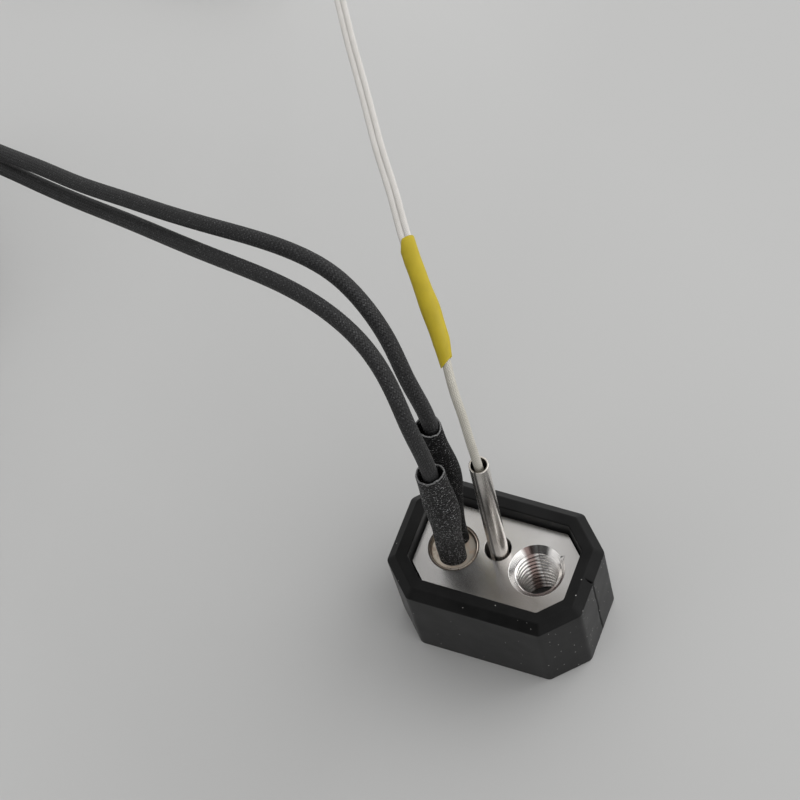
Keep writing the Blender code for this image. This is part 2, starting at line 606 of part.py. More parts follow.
def make_tie(name, coil, degrees, width, material):
    """A flat band round the coil's section, where the coil lies at the angle."""
    angle = math.radians(degrees)
    out = Vector((math.cos(angle), math.sin(angle), 0))
    ahead = Vector((-math.sin(angle), math.cos(angle), 0))
    near = math.sqrt(coil.solid_inner**2 - (width / 2) ** 2) - SEAT_GAP
    far = coil.solid_outer + SEAT_GAP
    low, high = coil.bottom - TIE_GAP, coil.top + TIE_GAP
    rings = []
    for grow, end in ((TIE_THICKNESS, -1), (TIE_THICKNESS, 1), (0, 1), (0, -1)):
        corners = [(near - grow, low - grow), (far + grow, low - grow), (far + grow, high + grow),
                   (near - grow, high + grow)]
        shift = coil.centre + ahead * (end * width / 2)
        rings.append([shift + out * x + Vector((0, 0, z)) for x, z in corners])
    loft(name, rings, material, ring_shaped=True)


def make_leads(braid, nylon, tin):
    ends = (("front", LEAD_ROUTE_FRONT, LEAD_TAIL_FRONT), ("rear", LEAD_ROUTE_REAR, LEAD_TAIL_REAR))
    for end, route, tail in ends:
        line = clear_of(smooth_line(route, ROUTE_STEP), LEAD_COIL)
        tube(f"heater_lead_{end}", thinned(line, 2.5 * LEAD_DIAMETER), LEAD_DIAMETER / 2, braid)
        tail_line = clear_of(smooth_line(tail, ROUTE_STEP), LEAD_COIL)
        tube(f"lead_tail_{end}", thinned(tail_line, 1.5 * LEAD_DIAMETER), LEAD_DIAMETER / 2, braid)
        seat = Vector(tail_line[-1])
        run = seat - Vector(tail_line[-1 - round(COLLAR_OVERLAP / ROUTE_STEP)])
        run.z = 0
        run.normalize()
        axis = axis_empty(f"ferrule_axis_{end}", seat + run * SEAT_GAP, run)
        outer, bore, neck = COLLAR_DIAMETER / 2, COLLAR_BORE / 2, COLLAR_NECK / 2
        nose = COLLAR_LENGTH - COLLAR_OVERLAP
        collar = [(0.8 * outer, nose), (outer, nose - COLLAR_TAPER), (outer, -COLLAR_OVERLAP),
                  (bore, -COLLAR_OVERLAP), (bore, 0), (neck, 0), (neck, nose)]
        turned(f"ferrule_collar_{end}", collar, nylon, sides=16, ring_shaped=True, parent=axis)
        barrel = BARREL_DIAMETER / 2
        metal = [(0, BARREL_LENGTH), (0.85 * barrel, BARREL_LENGTH), (barrel, BARREL_LENGTH - 0.2 * MM),
                 (barrel, 0), (0, 0)]
        turned(f"ferrule_barrel_{end}", metal, tin, sides=12, parent=axis)
    make_coil("lead_coil", LEAD_COIL, braid, sides=32)
    make_tie("lead_tie", LEAD_COIL, 300, TIE_WIDTH, nylon)


def box_mesh(name, size):
    bm = bmesh.new()
    bmesh.ops.create_cube(bm, size=1)
    bmesh.ops.scale(bm, vec=size, verts=bm.verts)
    return mesh_from(name, bm)


def make_connector(shell, tin):
    """A two-way plug housing on the wires' ends, lying on the floor; its own X runs into the housing."""
    end, before = Vector(WIRE_TAIL[-1]) * MM, Vector(WIRE_TAIL[-2]) * MM
    ahead = (end - before).normalized()
    ahead.z = 0
    ahead.normalize()
    size = CONNECTOR_SIZE
    entry = 2.0 * MM  # how far the wires reach into the housing
    middle = end + ahead * (size.x / 2 - entry)
    middle.z = size.z / 2
    base = add("connector_axis", None, location=middle)
    base.rotation_euler.z = math.atan2(ahead.y, ahead.x)
    housing = add("connector_housing", box_mesh("connector_housing", size), shell, parent=base)
    bevel = housing.modifiers.new("edges", "BEVEL")
    bevel.width = 0.3 * MM
    bevel.segments = 1
    slot_size = TERMINAL_SIZE + 2 * FIT_GAP
    for name, side in (("left", 1), ("right", -1)):
        place = Vector((0, side * CONNECTOR_PITCH / 2, 0))
        slot_mesh = box_mesh(f"slot_cutter_{name}", (size.x + 2 * CUT_PAST, slot_size, slot_size))
        cut(housing, add(f"slot_cutter_{name}", slot_mesh, parent=base, location=place))
        terminal = box_mesh(f"terminal_{name}", (TERMINAL_LENGTH, TERMINAL_SIZE, TERMINAL_SIZE))
        shift = entry + SEAT_GAP + TERMINAL_LENGTH / 2 - size.x / 2
        place.x = shift
        add(f"connector_terminal_{name}", terminal, tin, parent=base, location=place)
    make_coil("wire_coil", WIRE_COIL, shell, sides=24)
    make_tie("wire_tie", WIRE_COIL, 250, TIE_WIDTH * 0.6, shell)


def main():
    clear_scene()
    silicone = finish("black_silicone", (0.02, 0.02, 0.02), 0.55)
    plated = finish("machined_metal", (0.72, 0.71, 0.70), 0.3, 1.0)
    steel = finish("stainless", (0.6, 0.58, 0.55), 0.25, 1.0)
    dark_steel = finish("black_oxide_steel", (0.05, 0.05, 0.055), 0.4, 1.0)
    ceramic = finish("ceramic", (0.75, 0.68, 0.58), 0.7)
    resistance = finish("resistance_wire", (0.45, 0.42, 0.4), 0.35, 1.0)
    tin = finish("tinned_metal", (0.7, 0.7, 0.7), 0.35, 1.0)
    glass_fibre = finish("black_glass_fibre", (0.03, 0.03, 0.03), 0.8)
    braid = finish("black_braid", (0.04, 0.04, 0.04), 0.75)
    nylon = finish("grey_nylon", (0.25, 0.25, 0.26), 0.5)
    cream = finish("cream_glass_fibre", (0.78, 0.75, 0.66), 0.7)
    yellow = finish("yellow_heat_shrink", (0.75, 0.6, 0.04), 0.35)
    white = finish("white_insulation", (0.82, 0.8, 0.77), 0.5)

    make_sock(silicone)
    block = make_block(plated)
    sheath_front = HEATER_Y - HEATER_DIAMETER / 2
    make_grub("heater_grub_screw", HEATER_X, sheath_front - GRUB_TOUCH, -1, dark_steel, block)
    share = (BLOCK_BOTTOM + GRUB_HEIGHT - TUBE_LOW.z) / TUBE_LINE.z
    tube_back = (TUBE_LOW + TUBE_LINE * share).y + TUBE_DIAMETER / 2
    make_grub("sensor_grub_screw", SENSOR_X, tube_back + GRUB_TOUCH, 1, dark_steel, block)
    make_heater(steel, ceramic, resistance, tin, glass_fibre)
    make_sensor(steel, ceramic, resistance, tin, cream, yellow, white)
    make_leads(braid, nylon, tin)
    make_connector(white, tin)


main()
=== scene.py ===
"""Finished surfaces, cords and stage for the heater end of a printer's hotend.

Laid out as an add-on and run as a script: each operator makes one piece or one group of like
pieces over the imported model, and the sidebar panel lists them. Metres, +Z up, in the model's
frame.
"""
import math

import bpy
import numpy as np
from mathutils import Matrix, Vector


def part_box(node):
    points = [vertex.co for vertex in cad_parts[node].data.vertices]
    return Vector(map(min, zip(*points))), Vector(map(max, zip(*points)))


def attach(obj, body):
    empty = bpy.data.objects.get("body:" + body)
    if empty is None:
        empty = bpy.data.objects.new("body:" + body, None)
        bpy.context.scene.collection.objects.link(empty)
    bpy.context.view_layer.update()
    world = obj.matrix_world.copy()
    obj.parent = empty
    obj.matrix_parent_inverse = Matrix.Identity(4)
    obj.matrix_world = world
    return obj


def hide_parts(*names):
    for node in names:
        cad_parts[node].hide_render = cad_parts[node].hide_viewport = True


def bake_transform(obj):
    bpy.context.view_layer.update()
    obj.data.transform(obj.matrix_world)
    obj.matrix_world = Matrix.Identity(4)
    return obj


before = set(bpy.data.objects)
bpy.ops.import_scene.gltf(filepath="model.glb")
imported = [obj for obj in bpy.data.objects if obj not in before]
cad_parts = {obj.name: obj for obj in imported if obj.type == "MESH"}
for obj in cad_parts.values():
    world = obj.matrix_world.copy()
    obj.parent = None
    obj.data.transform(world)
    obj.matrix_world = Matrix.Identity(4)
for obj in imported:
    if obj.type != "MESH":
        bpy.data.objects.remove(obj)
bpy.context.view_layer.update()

bl_info = {
    "name": "Hotend heater end",
    "version": (1, 0, 0),
    "blender": (4, 5, 0),
    "location": "3D View > Sidebar > Hotend",
    "description": "Makes the finished surfaces, cords and stage of a hotend's heater end",
    "category": "Add Mesh",
}

MM = 0.001


def mm(rows):
    """Numbers typed in millimetres, as an array in metres."""
    return np.array(rows, float) * MM


def corners(node):
    """A node's lowest and highest corner at rest."""
    return tuple(np.array(corner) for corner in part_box(node))


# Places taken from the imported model
BLOCK_LOW, BLOCK_HIGH = corners("heater_block")
BLOCK_BOTTOM, BLOCK_TOP = BLOCK_LOW[2], BLOCK_HIGH[2]
BLOCK_HALF = (BLOCK_HIGH - BLOCK_LOW)[:2] / 2
SOCK_HIGH = corners("silicone_sock")[1]
SHEATH_LOW, SHEATH_HIGH = corners("heater_sheath")
SEAL_LOW, SEAL_HIGH = (corner[2] for corner in corners("heater_end_seal"))
HEATER_AXIS = (SHEATH_LOW + SHEATH_HIGH) / 2 * (1, 1, 0)

# Places, directions and sizes that the boxes don't give
THREAD_AXIS = mm((5.2, 0, 0))
SENSOR_BORE_AXIS = mm((-0.25, 1.4, 0))
TUBE_FOOT = mm((-0.10, 1.05, 4.5))
TUBE_LINE = mm((0.27, 0.66, 31.1))
PAIR_ANGLE = math.radians(-70)  # the way from the rear lead to the front one
PAIR = np.array((math.cos(PAIR_ANGLE), math.sin(PAIR_ANGLE), 0))
ACROSS = np.array((-PAIR[1], PAIR[0], 0))
UPWARD = np.array((0.0, 0.0, 1.0))
CORNER_LEG = 2.45 * MM  # how far each of the block's corners is cut back
HEATER_BORE, SENSOR_BORE, SCREW_HOLE = 3.06 * MM, 1.6 * MM, 1.5 * MM  # radii
SENSOR_BORE_DEPTH = 9 * MM
THREAD_MOUTHS = (3.4 * MM, 3.1 * MM)  # radius of the threaded hole's cone at the top and below
SCREWS = (("heater_grub_screw", -1), ("sensor_grub_screw", 1))  # node, and its side along Y

# Routes of the cords, the same points as the solids follow, in metres
LEAD_ROUTES = {
    "front": mm((
        (-4.8, -1.0, 29.5), (-4.9, -0.85, 33), (-5.0, -0.7, 36.5), (-5.4, -0.6, 41),
        (-6.4, 0.0, 45.6), (-8.6, 2.2, 49.1), (-12.0, 4.8, 51.5), (-16.5, 7.0, 52.7),
        (-22.0, 8.9, 52.6), (-28.0, 10.5, 51.4), (-34.5, 12.3, 49.0), (-41.6, 14.6, 45.8),
        (-49.3, 17.4, 41.7), (-57.5, 20.4, 37.0), (-66.2, 23.75, 32.0), (-75.0, 27.4, 26.6),
        (-82.2, 30.6, 20.3), (-88.3, 32.9, 14.2), (-94.1, 34.25, 9.0))),
    "rear": mm((
        (-5.7, 3.0, 29.5), (-6.0, 3.6, 33), (-6.5, 4.3, 37), (-7.2, 4.7, 41.2),
        (-8.5, 5.4, 45.4), (-10.8, 7.5, 48.9), (-14.2, 9.9, 51.4), (-18.5, 12.0, 52.8),
        (-23.7, 13.4, 52.9), (-29.5, 14.4, 51.9), (-35.7, 15.4, 50.1), (-42.3, 16.8, 47.6),
        (-49.5, 18.8, 44.3), (-57.3, 21.3, 40.0), (-65.9, 24.7, 34.8), (-75.4, 28.55, 28.6),
        (-82.4, 31.8, 22.9), (-88.3, 33.6, 17.1), (-94.1, 34.45, 11.8))),
}
LEAD_TAILS = {
    "front": mm((
        (-117.0, 14.0, 1.32), (-116.7, 10.4, 1.38), (-115.8, 7.0, 1.5), (-114.7, 3.6, 1.6),
        (-113.9, 0.4, 1.6))),
    "rear": mm((
        (-117.5, 14.0, 3.2), (-118.2, 10.4, 2.75), (-118.4, 7.0, 1.95), (-118.0, 3.6, 1.6),
        (-117.4, 0.4, 1.6))),
}
SENSOR_ROUTE = mm((
    (-0.07, 1.12, 7.6), (0.03, 1.36, 19), (0.12, 1.57, 29), (0.1, 1.69, 35), (-0.28, 2.05, 40.6),
    (-1.15, 3.2, 45), (-2.48, 4.9, 47.7), (-4.35, 7.94, 49.8), (-7.0, 11.6, 50.9),
    (-10.2, 15.7, 51.0), (-13.7, 20.4, 50.0), (-17.4, 25.9, 48.0), (-21.8, 32.1, 45.0),
    (-26.4, 38.9, 41.0), (-31.5, 46.5, 36.2), (-37.0, 54.6, 30.9), (-42.8, 63.4, 25),
    (-48.34, 71.3, 19.5), (-54.26, 78.7, 14.3), (-60.52, 85.8, 9.75), (-67.12, 92.68, 6.44)))
WIRE_TAIL = mm((
    (-78.3, 93.22, 1.22), (-81.14, 90.79, 1.35), (-83.77, 88.55, 1.9), (-86.22, 86.44, 2.6),
    (-88.15, 84.79, 2.92), (-90.08, 83.13, 2.95)))

# Lengths along the sensor's route: the cream sleeve's end, the heat-shrink, and the stretch in
# which the wires turn from side by side to one above the other
SLEEVE_END = 47.0 * MM
SHRINK_REACH = (43.9 * MM, 60.2 * MM)
TWIST_REACH = (122.0 * MM, 150.0 * MM)
LEAD_STEP = 0.1 * MM  # between the points of a lead's line
WIRE_HALF, PLUG_HALF = 0.35 * MM, 1.25 * MM  # half the wires' spacing on the route, in the plug

# Coils: the turns are counted for one layer, and the radius is the mean one
LEAD_COIL = {"middle": mm((-100.0, 17.6)), "width": 1.9 * MM, "pitch": 1.94 * MM, "layers": 2,
             "turns": 6.125, "radius": 11.1 * MM, "start": math.radians(90), "foot": 0.35 * MM}
WIRE_COIL = {"middle": mm((-73.0, 87.0)), "width": 0.85 * MM, "pitch": 0.87 * MM, "layers": 4,
             "turns": 7.06, "radius": 5.1 * MM, "start": math.radians(44.0), "foot": 0.35 * MM}

# Black sleeves, from their feet up: height, shift across and along the pair, half width across
# and along
SLEEVES = {
    "front": mm((
        (0, -0.05, 1.2, 1.66, 1.18), (4, 0.05, 1.15, 1.66, 1.2), (8, 0.3, 1.2, 1.75, 1.35),
        (11.5, 0.5, 1.25, 2.0, 1.6), (14.5, 0.45, 1.2, 2.05, 1.68), (17.5, 0.3, 0.95, 1.85, 1.55),
        (20, 0.2, 0.85, 1.72, 1.45), (22.4, 0.2, 0.8, 1.75, 1.45))),
    "rear": mm((
        (0, 0.25, -1.2, 1.65, 1.05), (4, 0.3, -1.45, 1.65, 1.15), (8, 0.45, -1.95, 1.7, 1.3),
        (11.5, 0.65, -2.4, 1.85, 1.45), (14.5, 0.85, -2.75, 1.95, 1.6),
        (17.5, 0.85, -3.1, 1.85, 1.55), (20.5, 0.55, -3.55, 1.7, 1.48),
        (24.2, 0.2, -4.3, 1.62, 1.5))),
}


def tone(red, green, blue):
    """A colour given as it looks on a screen, 0 to 255, as linear red, green and blue."""
    share = np.array((red, green, blue)) / 255
    linear = np.where(share <= 0.04045, share / 12.92, ((share + 0.055) / 1.055) ** 2.4)
    return tuple(float(value) for value in linear)


def shaded(color, *shares):
    """A colour times one share, or its red, green and blue times a share each, up to one."""
    shares = shares * 3 if len(shares) == 1 else shares
    return tuple(min(1.0, value * share) for value, share in zip(color, shares))


def unit(vectors):
    """Each vector over its own length."""
    return vectors / np.linalg.norm(vectors, axis=-1, keepdims=True)


def angles(count):
    """Even angles once round, the first one nought."""
    return np.linspace(0, 2 * math.pi, count, endpoint=False)


def squared(angle, bulge):
    """The angle's cosine and sine, each raised to the bulge with its sign kept: at one they give
    a circle, and below one a squarer ring."""
    return [np.sign(side) * np.abs(side) ** bulge for side in (np.cos(angle), np.sin(angle))]


def eased(value, low, high):
    """Nought below low, one above high, and three times the square less twice the cube of the
    share of the way in between."""
    share = np.clip((value - low) / (high - low), 0, 1)
    return share * share * (3 - 2 * share)


def lengths_along(line):
    """The sum of the chords up to each point."""
    return np.concatenate([[0], np.cumsum(np.linalg.norm(np.diff(line, axis=0), axis=1))])


def spline(knots, values, at):
    """The natural cubic spline through values at their knots, worked out at other places: each
    stretch is a cubic, and its second derivative runs straight from one knot's bend to the
    next's."""
    gaps = np.diff(knots)
    slopes = np.diff(values, axis=0) / gaps[:, None]
    inner = np.arange(1, len(knots) - 1)
    system = np.eye(len(knots))
    system[inner, inner - 1] = gaps[:-1]
    system[inner, inner] = 2 * (gaps[:-1] + gaps[1:])
    system[inner, inner + 1] = gaps[1:]
    right = np.zeros_like(values)
    right[1:-1] = 6 * np.diff(slopes, axis=0)
    bend = np.linalg.solve(system, right)
    k = np.clip(np.searchsorted(knots, at, side="right") - 1, 0, len(gaps) - 1)
    before, after, span = (at - knots[k])[:, None], (knots[k + 1] - at)[:, None], gaps[k][:, None]
    curve = (bend[k] * after**3 + bend[k + 1] * before**3) / (6 * span)
    curve += (values[k] / span - bend[k] * span / 6) * after
    return curve + (values[k + 1] / span - bend[k + 1] * span / 6) * before


def smooth_line(points, step=0.05 * MM):
    """Points about a step apart on the natural spline through the given ones, whose knots are the
    lengths along their chords."""
    knots = lengths_along(points)
    return spline(knots, points, np.linspace(0, knots[-1], round(knots[-1] / step) + 1))


def sampled(at, along, *tracks):
    """Each track of points read off at other lengths, straight between its own points."""
    return [np.stack([np.interp(at, along, track[:, k]) for k in range(3)], -1)
            for track in tracks]


def thinned(line, fine, coarse, change):
    """The line's points a fine step apart up to a length along it and a coarse step apart after
    that, and their lengths along it."""
    along = lengths_along(line)
    change = min(change, along[-1])
    near = np.linspace(0, change, max(2, round(change / fine) + 1))
    far = np.linspace(change, along[-1], round((along[-1] - change) / coarse) + 1)[1:]
    at = np.concatenate([near, far])
    return sampled(at, along, line)[0], at


def side_frames(line, lean=None):
    """Two directions square to a line at each of its points: across is the line's direction
    crossed with a guide, and up is across crossed with the direction. The guide is upward; where
    the line itself stands upright, it swings to the level direction opposite to lean."""
    ahead = unit(np.gradient(line, axis=0))
    guide = np.broadcast_to(UPWARD, line.shape)
    if lean is not None:
        upright = np.clip(ahead[:, 2:], 0, 1)
        guide = (1 - upright) * guide - upright * unit(np.array(lean, float))
    across = unit(np.cross(ahead, guide))
    return across, np.cross(across, ahead)


def coil_line(coil, first):
    """The middle line of a coiled pair, in flat spirals: the angle grows by a full turn for each
    of its turns, the radius swings like a saw between the outer and the inner one, one layer's
    turns to each stroke, and the height drops by two cords as each layer ends, eased over a part
    of a turn."""
    points_in_turn, half_drop = 24, 0.15
    turns = np.arange(first, coil["layers"] * coil["turns"], 1 / points_in_turn)
    half = coil["turns"] * coil["pitch"] / 2
    radius = coil["radius"] - half + 2 * half * np.abs(1 - turns / coil["turns"] % 2)
    ends = np.arange(1, coil["layers"]) * coil["turns"]
    drops = eased(turns[:, None], ends - half_drop, ends + half_drop).sum(1)
    angle = coil["start"] + 2 * math.pi * turns
    height = coil["foot"] + (2 * coil["layers"] - 1 - 2 * drops) * coil["pitch"]
    return np.stack([coil["middle"][0] + radius * np.cos(angle),
                     coil["middle"][1] + radius * np.sin(angle), height], -1)


def rounded(spots, steps=4):
    """A polyline through corners given as x, y and the size of each one's round: a round is the
    parabola that leaves one side and meets the next at that distance from the corner."""
    spots = np.array(spots, float)
    spots, size = spots[:, None, :2], spots[:, 2]
    before = unit(np.roll(spots, 1, 0) - spots)
    after = unit(np.roll(spots, -1, 0) - spots)
    share = np.linspace(0, 1, steps + 1)[None, :, None]
    reach = size[:, None, None]
    guard = 1.3 * reach  # one more point on each side keeps the flats flat
    arcs = np.concatenate([spots + guard * before,
                           spots + reach * ((1 - share) ** 2 * before + share**2 * after),
                           spots + guard * after], 1)
    keep = (size[:, None] > 0) | (np.arange(steps + 3) == 0)
    return arcs[keep]


class Skin:
    """Grids of points gathered into one mesh. A grid has rows and columns and is joined by
    quads; its columns go once round."""

    def __init__(self):
        self.points, self.faces, self.uvs, self.marks, self.count = [], [], [], [], 0

    def add(self, grid, wrap_rows=False, caps=False, along=None, mark=0):
        """Joins each point to its neighbours by quads; caps close the end rows by a fan of
        triangles round their middle. The signed volume tells whether the faces have to be turned
        about. The UV map is the share of the way round and the length along."""
        rows, columns = grid.shape[:2]
        i, j = np.meshgrid(np.arange(rows - (not wrap_rows)), np.arange(columns), indexing="ij")
        low, high = i * columns, (i + 1) % rows * columns
        right = (j + 1) % columns
        quads = np.stack([low + j, low + right, high + right, high + j], -1).reshape(-1, 4)
        around = np.linspace(0, 1, columns + 1)
        along = np.linspace(0, 1, rows + 1) if along is None else np.append(along, along[-1])
        uvs = np.stack([around[j], along[i], around[j + 1], along[i], around[j + 1], along[i + 1],
                        around[j], along[i + 1]], -1).reshape(-1, 4, 2)
        groups = [(quads, uvs)]
        points = grid.reshape(-1, 3)
        if caps:
            ring = np.arange(columns)
            following = (ring + 1) % columns
            zero = ring * 0
            flat = np.stack([zero + 0.5, zero, around[1:], zero, around[:-1], zero],
                            -1).reshape(-1, 3, 2)
            middle, last = rows * columns, (rows - 1) * columns
            groups.append((np.stack([zero + middle, following, ring], -1), flat))
            groups.append((np.stack([zero + middle + 1, last + ring, last + following], -1), flat))
            points = np.vstack([points, grid[0].mean(0), grid[-1].mean(0)])
        volume = 0.0
        centred = points - points.mean(0)
        for faces, _ in groups:
            for k in range(1, faces.shape[1] - 1):
                a, b, c = centred[faces[:, 0]], centred[faces[:, k]], centred[faces[:, k + 1]]
                volume += np.einsum("ij,ij->", a, np.cross(b, c))
        turn = slice(None, None, -1 if volume < 0 else 1)
        for faces, face_uvs in groups:
            self.faces.append(faces[:, turn] + self.count)
            self.uvs.append(face_uvs[:, turn])
            self.marks.append(np.full(len(faces), mark))
        self.points.append(points)
        self.count += len(points)
        return self

    def build(self, name, *finishes, smooth=True):
        """One object at the origin from all the grids, with its UV map and one finish for each
        mark."""
        mesh = bpy.data.meshes.new(name)
        faces = [face for group in self.faces for face in group.tolist()]
        mesh.from_pydata(np.concatenate(self.points).tolist(), [], faces)
        uvs = np.concatenate([group.ravel() for group in self.uvs]).astype(np.float32)
        mesh.uv_layers.new(name="UVMap").data.foreach_set("uv", uvs)
        mesh.polygons.foreach_set("use_smooth", np.full(len(faces), smooth))
        marks = np.concatenate(self.marks).astype(np.int32)
        mesh.polygons.foreach_set("material_index", marks)
        for finish_of_mark in finishes:
            mesh.materials.append(finish_of_mark)
        mesh.update()
        piece = bpy.data.objects.new(name, mesh)
        bpy.context.scene.collection.objects.link(piece)
        return piece


def turned(profile, base, axis=UPWARD, sides=64, ring_shaped=False, ripple=None):
    """A skin of a profile of radius and height spun about an axis: base plus height times axis
    plus radius times a level direction that goes once round. Ripple changes the radius by angle
    and height."""
    profile = np.array(profile, float)
    axis = unit(np.array(axis, float))
    side = unit(np.cross(axis, (0.0, 1.0, 0.0) if abs(axis[1]) < 0.9 else (1.0, 0.0, 0.0)))
    front = np.cross(axis, side)
    angle = angles(sides)
    rows = profile if ring_shaped else profile[1:-1]
    radius = np.repeat(rows[:, :1], sides, 1)
    if ripple is not None:
        radius = ripple(radius, angle[None, :], rows[:, 1:])
    level = np.cos(angle)[:, None] * side + np.sin(angle)[:, None] * front
    grid = np.array(base) + rows[:, 1, None, None] * axis + radius[:, :, None] * level
    skin = Skin().add(grid, wrap_rows=ring_shaped, caps=not ring_shaped, along=rows[:, 1] / MM)
    if not ring_shaped:  # the fans' middles go to the profile's own ends, on the axis
        for k, end in ((-2, 0), (-1, -1)):
            skin.points[-1][k] = np.array(base) + profile[end, 1] * axis
    return skin


def cut(piece, *cutters):
    """Takes the cutters out of the piece, writes the result into its mesh and removes them."""
    for cutter in cutters:
        boolean = piece.modifiers.new(cutter.name, "BOOLEAN")
        boolean.operation = "DIFFERENCE"
        boolean.solver = "EXACT"
        boolean.object = cutter
    bpy.context.view_layer.update()
    shaped = piece.evaluated_get(bpy.context.evaluated_depsgraph_get())
    mesh = bpy.data.meshes.new_from_object(shaped)
    piece.modifiers.clear()
    piece.data = mesh
    for cutter in cutters:
        bpy.data.objects.remove(cutter, do_unlink=True)


CLOUD = (0.3, 0.7)  # the values between which most of a noise lies


class Finish:
    """A procedural material, made node by node. Numbers and colours go straight into the
    sockets."""

    def __init__(self, name, color, roughness, metallic=0.0, **levels):
        self.material = bpy.data.materials.new(name)
        self.material.use_nodes = True
        self.tree = self.material.node_tree
        self.sockets = self.tree.nodes["Principled BSDF"].inputs
        self.paint(color)
        self.gloss(roughness)
        self.put(self.sockets["Metallic"], metallic)
        for key, value in levels.items():
            self.put(self.sockets[key.replace("_", " ")], value)

    def put(self, socket, value):
        """Links a socket to another, or sets its own number or colour."""
        if isinstance(value, bpy.types.NodeSocket):
            self.tree.links.new(value, socket)
        elif socket.type == "RGBA" and len(value) == 3:
            socket.default_value = (*value, 1.0)
        else:
            socket.default_value = value

    def node(self, kind, inputs, output=0, **settings):
        made = self.tree.nodes.new("ShaderNode" + kind)
        for key, value in settings.items():
            setattr(made, key, value)
        for key, value in inputs.items():
            self.put(made.inputs[key], value)
        return made.outputs if output is None else made.outputs[output]

    def spot(self, scale=(1, 1, 1), shift=(0, 0, 0)):
        """Place on the piece, in metres, stretched by scale and then moved by shift."""
        place = self.node("TexCoord", {}, "Object")
        return self.node("Mapping", {"Vector": place, "Scale": scale, "Location": shift})

    def split(self, vector):
        """A vector's three parts."""
        return tuple(self.node("SeparateXYZ", {0: vector}, None))

    def round_and_along(self):
        """The UV map of a cord or a tube: the share of the way round, and the millimetres along."""
        return self.split(self.node("TexCoord", {}, "UV"))[:2]

    def dot(self, vector, way):
        return self.node("VectorMath", {0: vector, 1: way}, "Value", operation="DOT_PRODUCT")

    def calc(self, operation, first, second=0.0, third=0.0):
        return self.node("Math", {0: first, 1: second, 2: third}, operation=operation)

    def noise(self, vector, scale, detail=3.0, rough=0.5):
        return self.node("TexNoise", {"Vector": vector, "Scale": scale, "Detail": detail,
                                      "Roughness": rough})

    def span(self, value, low, high, to_low=0.0, to_high=1.0):
        """Runs straight from to_low to to_high as the value goes from low to high, and no
        further."""
        return self.node("MapRange", {"Value": value, "From Min": low, "From Max": high,
                                      "To Min": to_low, "To Max": to_high})

    def mix(self, share, first, second, blend="MIX"):
        return self.node("Mix", {0: share, 6: first, 7: second}, 2, data_type="RGBA",
                         blend_type=blend)

    def paint(self, color):
        self.put(self.sockets["Base Color"], color)

    def gloss(self, roughness):
        self.put(self.sockets["Roughness"], roughness)

    def relief(self, height, distance, strength=1.0):
        self.put(self.sockets["Normal"], self.node("Bump", {"Height": height, "Distance": distance,
                                                            "Strength": strength}))

    def braid(self, strands, lay):
        """Height of a two-way braid on a cord's UV map: two sets of strands cross at equal and
        opposite slants, each one less four times the square of the place across its width, and
        they pass over each other by turns."""
        around, along = self.round_and_along()
        around = self.calc("MULTIPLY", around, float(strands))
        along = self.calc("MULTIPLY", along, strands / lay)
        sets = [self.calc(way, around, along) for way in ("ADD", "SUBTRACT")]
        crowns = []
        for strand in sets:
            middle = self.calc("SUBTRACT", self.calc("FRACT", strand), 0.5)
            fall = self.calc("MULTIPLY", self.calc("POWER", middle, 2.0), 4.0)
            crowns.append(self.calc("SUBTRACT", 1.0, fall))
        cell = self.calc("ADD", *(self.calc("FLOOR", strand) for strand in sets))
        over = self.calc("ABSOLUTE", self.calc("MODULO", cell, 2.0))
        under = self.calc("SUBTRACT", 1.0, over)
        return self.calc("ADD", self.calc("MULTIPLY", crowns[0], over),
                         self.calc("MULTIPLY", crowns[1], under))


def silicone_finish(looks):
    """Matt black with a faint cloud, painted shade darkening the parting line's groove down the
    right-hand end, and pale dust that gets thicker towards the right front corner."""
    made = Finish("black_silicone", looks.color, looks.roughness, Specular_IOR_Level=0.14,
                  Sheen_Weight=0.1, Sheen_Roughness=0.4)
    place = made.spot()
    x, y, _ = made.split(place)
    cloud = made.noise(place, 260.0, 4.0)
    pale = tuple(min(1.0, value * 1.5 + 0.004) for value in looks.color)
    base = made.mix(made.span(cloud, 0.35, 0.7), looks.color, pale)

    # Painted shade: a wandering band down the middle of the right-hand end, over the parting line's
    # groove, is darkened almost to black
    bend = made.span(made.noise(place, 700.0, 2.0), *CLOUD, -0.1 * MM, 0.1 * MM)
    away = made.calc("ABSOLUTE", made.calc("ADD", y, bend))
    at_end = made.calc("GREATER_THAN", x, SOCK_HIGH[0] - 0.6 * looks.rim_chamfer)
    groove_shade = made.calc("MULTIPLY", made.span(away, 0.05 * MM, 0.13 * MM, 1.0, 0.0), at_end)
    base = made.mix(groove_shade, base, tone(2, 2, 2))

    cells = {"Vector": place, "Scale": 1600.0}
    from_middle = made.node("TexVoronoi", cells, "Distance")
    draw = made.node("SeparateColor", {0: made.node("TexVoronoi", cells, "Color")})
    cornerwards = made.calc("SUBTRACT", x, y)
    few = made.calc("GREATER_THAN", draw, made.span(cornerwards, 4 * MM, 18 * MM, 0.95, 0.74))
    speck = made.calc("MULTIPLY", made.calc("LESS_THAN", from_middle, 0.11), few)
    made.paint(made.mix(speck, base, tone(185, 183, 180)))
    made.gloss(made.span(cloud, *CLOUD, looks.roughness - 0.06, looks.roughness + 0.08))
    made.relief(made.noise(place, 5200.0, 2.0), 0.012 * MM, 0.5)
    return made.material


